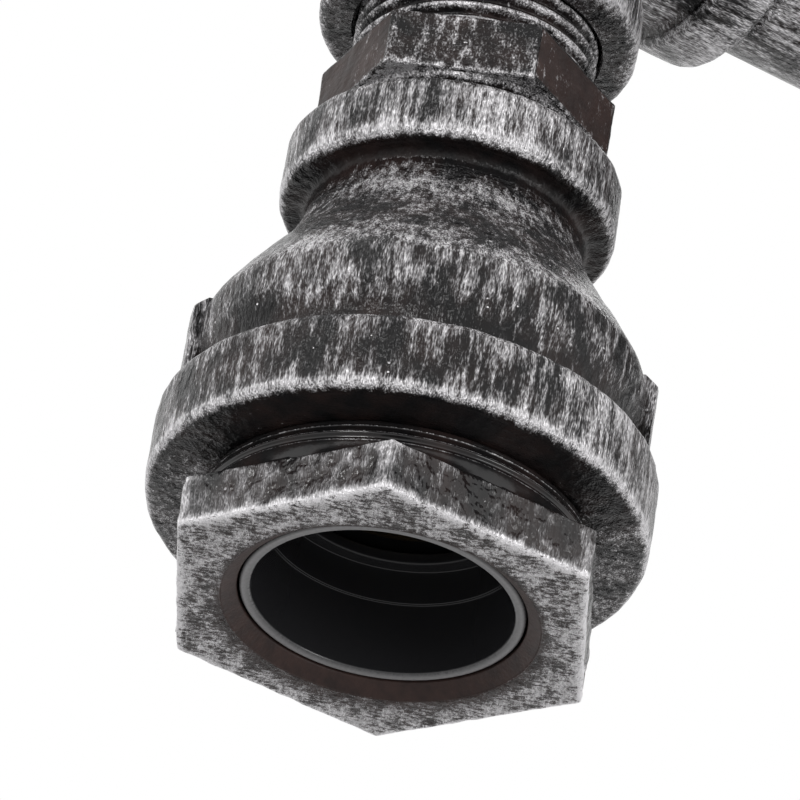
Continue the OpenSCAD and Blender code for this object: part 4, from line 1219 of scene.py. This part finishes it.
# %% Metal finishes
def worn_metal(name, bright, dull, smooth, rough):
    """Plated or bare metal with drawing lines and dull blotches."""
    finish, tree = new_finish(name)
    place = object_place(tree)
    blotch = math_node(tree, "MULTIPLY", stretched_noise(tree, place, 3, 3, 4, 0.65), 0.75)
    lines = stretched_noise(tree, place, 0.12, 4, 2, 0.5)
    tarnish = math_node(tree, "ADD", blotch, math_node(tree, "MULTIPLY", lines, 0.25))
    tarnish = mix_number(tree, tarnish, -0.8, 1.8)
    set_shader(tree, {
        "Base Color": mix_colour(tree, tarnish, bright, dull),
        "Roughness": mix_number(tree, tarnish, smooth, rough),
        "Metallic": 1,
    }, lines, 0.015)
    return finish


def finish_nodes(finish, *names):
    """Puts a finish on CAD nodes."""
    for name in names:
        slots = frame["nodes"][name].data.materials
        slots.clear()
        slots.append(finish)
    print(finish.name, "on", ", ".join(names))


brass = worn_metal("dull_brass", (0.46, 0.32, 0.13, 1), (0.17, 0.115, 0.05, 1), 0.26, 0.5)
zinc = worn_metal("zinc_plate", (0.62, 0.62, 0.60, 1), (0.42, 0.41, 0.38, 1), 0.26, 0.46)
# nearly black brass: painted shade for the shell deep inside the holder
shade_dark_brass = worn_metal("brass_darkened_as_shade", (0.12, 0.09, 0.05, 1), (0.05, 0.04, 0.03, 1), 0.35, 0.55)
finish_nodes(shade_dark_brass, "screw_shell", "shell_rivets")
finish_nodes(brass, "contact_plunger", "live_terminal", "neutral_terminal", "terminal_screws")
finish_nodes(zinc, "threaded_tube", "support_washer", "lock_nuts", "cap_grub_screw", "earth_tag")
finish_nodes(black_plastic, "lampholder_cap", "tube_bush")

# %% [markdown]
# ### Contact spring
# A lamp's cap pushes the middle contact up against a small spring. A rigid spring would be cut by the
# contact, so it is modelled anew: a Screw modifier winds a small circle into a coil that fills the CAD
# spring's box, with its foot on the contact and its top on the holder.

# %% Contact spring
coil_low, coil_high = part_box("contact_spring")
wire_r, coil_turns, coil_steps = 0.225 * mm, 4, 24
coil_r = (coil_high.x - coil_low.x) / 2 - wire_r
coil_l = coil_high.z - coil_low.z - 2 * wire_r
bpy.ops.object.select_all(action="DESELECT")
bpy.ops.mesh.primitive_circle_add(vertices=10, radius=wire_r, location=(0, lamp_y, coil_low.z + wire_r),
                                  rotation=(math.pi / 2, 0, 0))
coil = settle("contact_coil", location=False)
bpy.ops.transform.translate(value=(coil_r, 0, 0))
bpy.ops.object.mode_set(mode="OBJECT")
apply_modifier(coil, "SCREW", iterations=coil_turns, screw_offset=coil_l / coil_turns, steps=coil_steps,
               render_steps=coil_steps)
settle("contact_coil")
bpy.ops.mesh.fill_holes(sides=0)
tidy_shell(coil)
coil.data.materials.append(zinc)
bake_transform(coil)
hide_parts("contact_spring")
print("contact coil:", len(coil.data.polygons), "faces, box", [round(v / mm, 2) for v in coil.dimensions])


# %% [markdown]
# ### Ceramic and wires
# The insulator is fired ceramic: off-white, a little blotched, with a fine pitted skin. The wires have a
# soft plastic sleeve in the colours of an installation: brown, blue, and green with yellow bands.

# %% Ceramic and wire finishes
def fired_ceramic(name, pale, dark):
    """Blotched ceramic with a pitted skin."""
    finish, tree = new_finish(name)
    place = object_place(tree)
    blotch = stretched_noise(tree, place, 4, 4, 4, 0.6)
    pits = stretched_noise(tree, place, 0.3, 0.3, 2, 0.6)
    set_shader(tree, {
        "Base Color": mix_colour(tree, blotch, pale, dark),
        "Roughness": mix_number(tree, blotch, 0.3, 0.5),
    }, pits, 0.03)
    return finish


def wire_sleeve(name, colour, band=None):
    """Soft plastic sleeve; band is the colour of slanted bands, if it has any."""
    finish, tree = new_finish(name)
    place = object_place(tree)
    dust = stretched_noise(tree, place, 0.8, 0.8, 3, 0.6)
    shade = mix_colour(tree, dust, colour, [0.7 * c for c in colour[:3]] + [1])
    if band is not None:
        wave = new_node(tree, "ShaderNodeTexWave", place, bands_direction="DIAGONAL", Scale=0.06 / mm)
        shade = mix_colour(tree, math_node(tree, "GREATER_THAN", wave.outputs[1], 0.62), shade, band)
    set_shader(tree, {"Base Color": shade, "Roughness": mix_number(tree, dust, 0.32, 0.5)})
    return finish


finish_nodes(fired_ceramic("fired_ceramic", (0.80, 0.78, 0.73, 1), (0.66, 0.63, 0.57, 1)),
             "lampholder_insulator")
finish_nodes(wire_sleeve("brown_sleeve", (0.11, 0.045, 0.022, 1)), "live_lead")
finish_nodes(wire_sleeve("blue_sleeve", (0.02, 0.10, 0.36, 1)), "neutral_lead")
finish_nodes(wire_sleeve("green_sleeve", (0.03, 0.22, 0.05, 1), (0.62, 0.50, 0.03, 1)), "earth_lead")
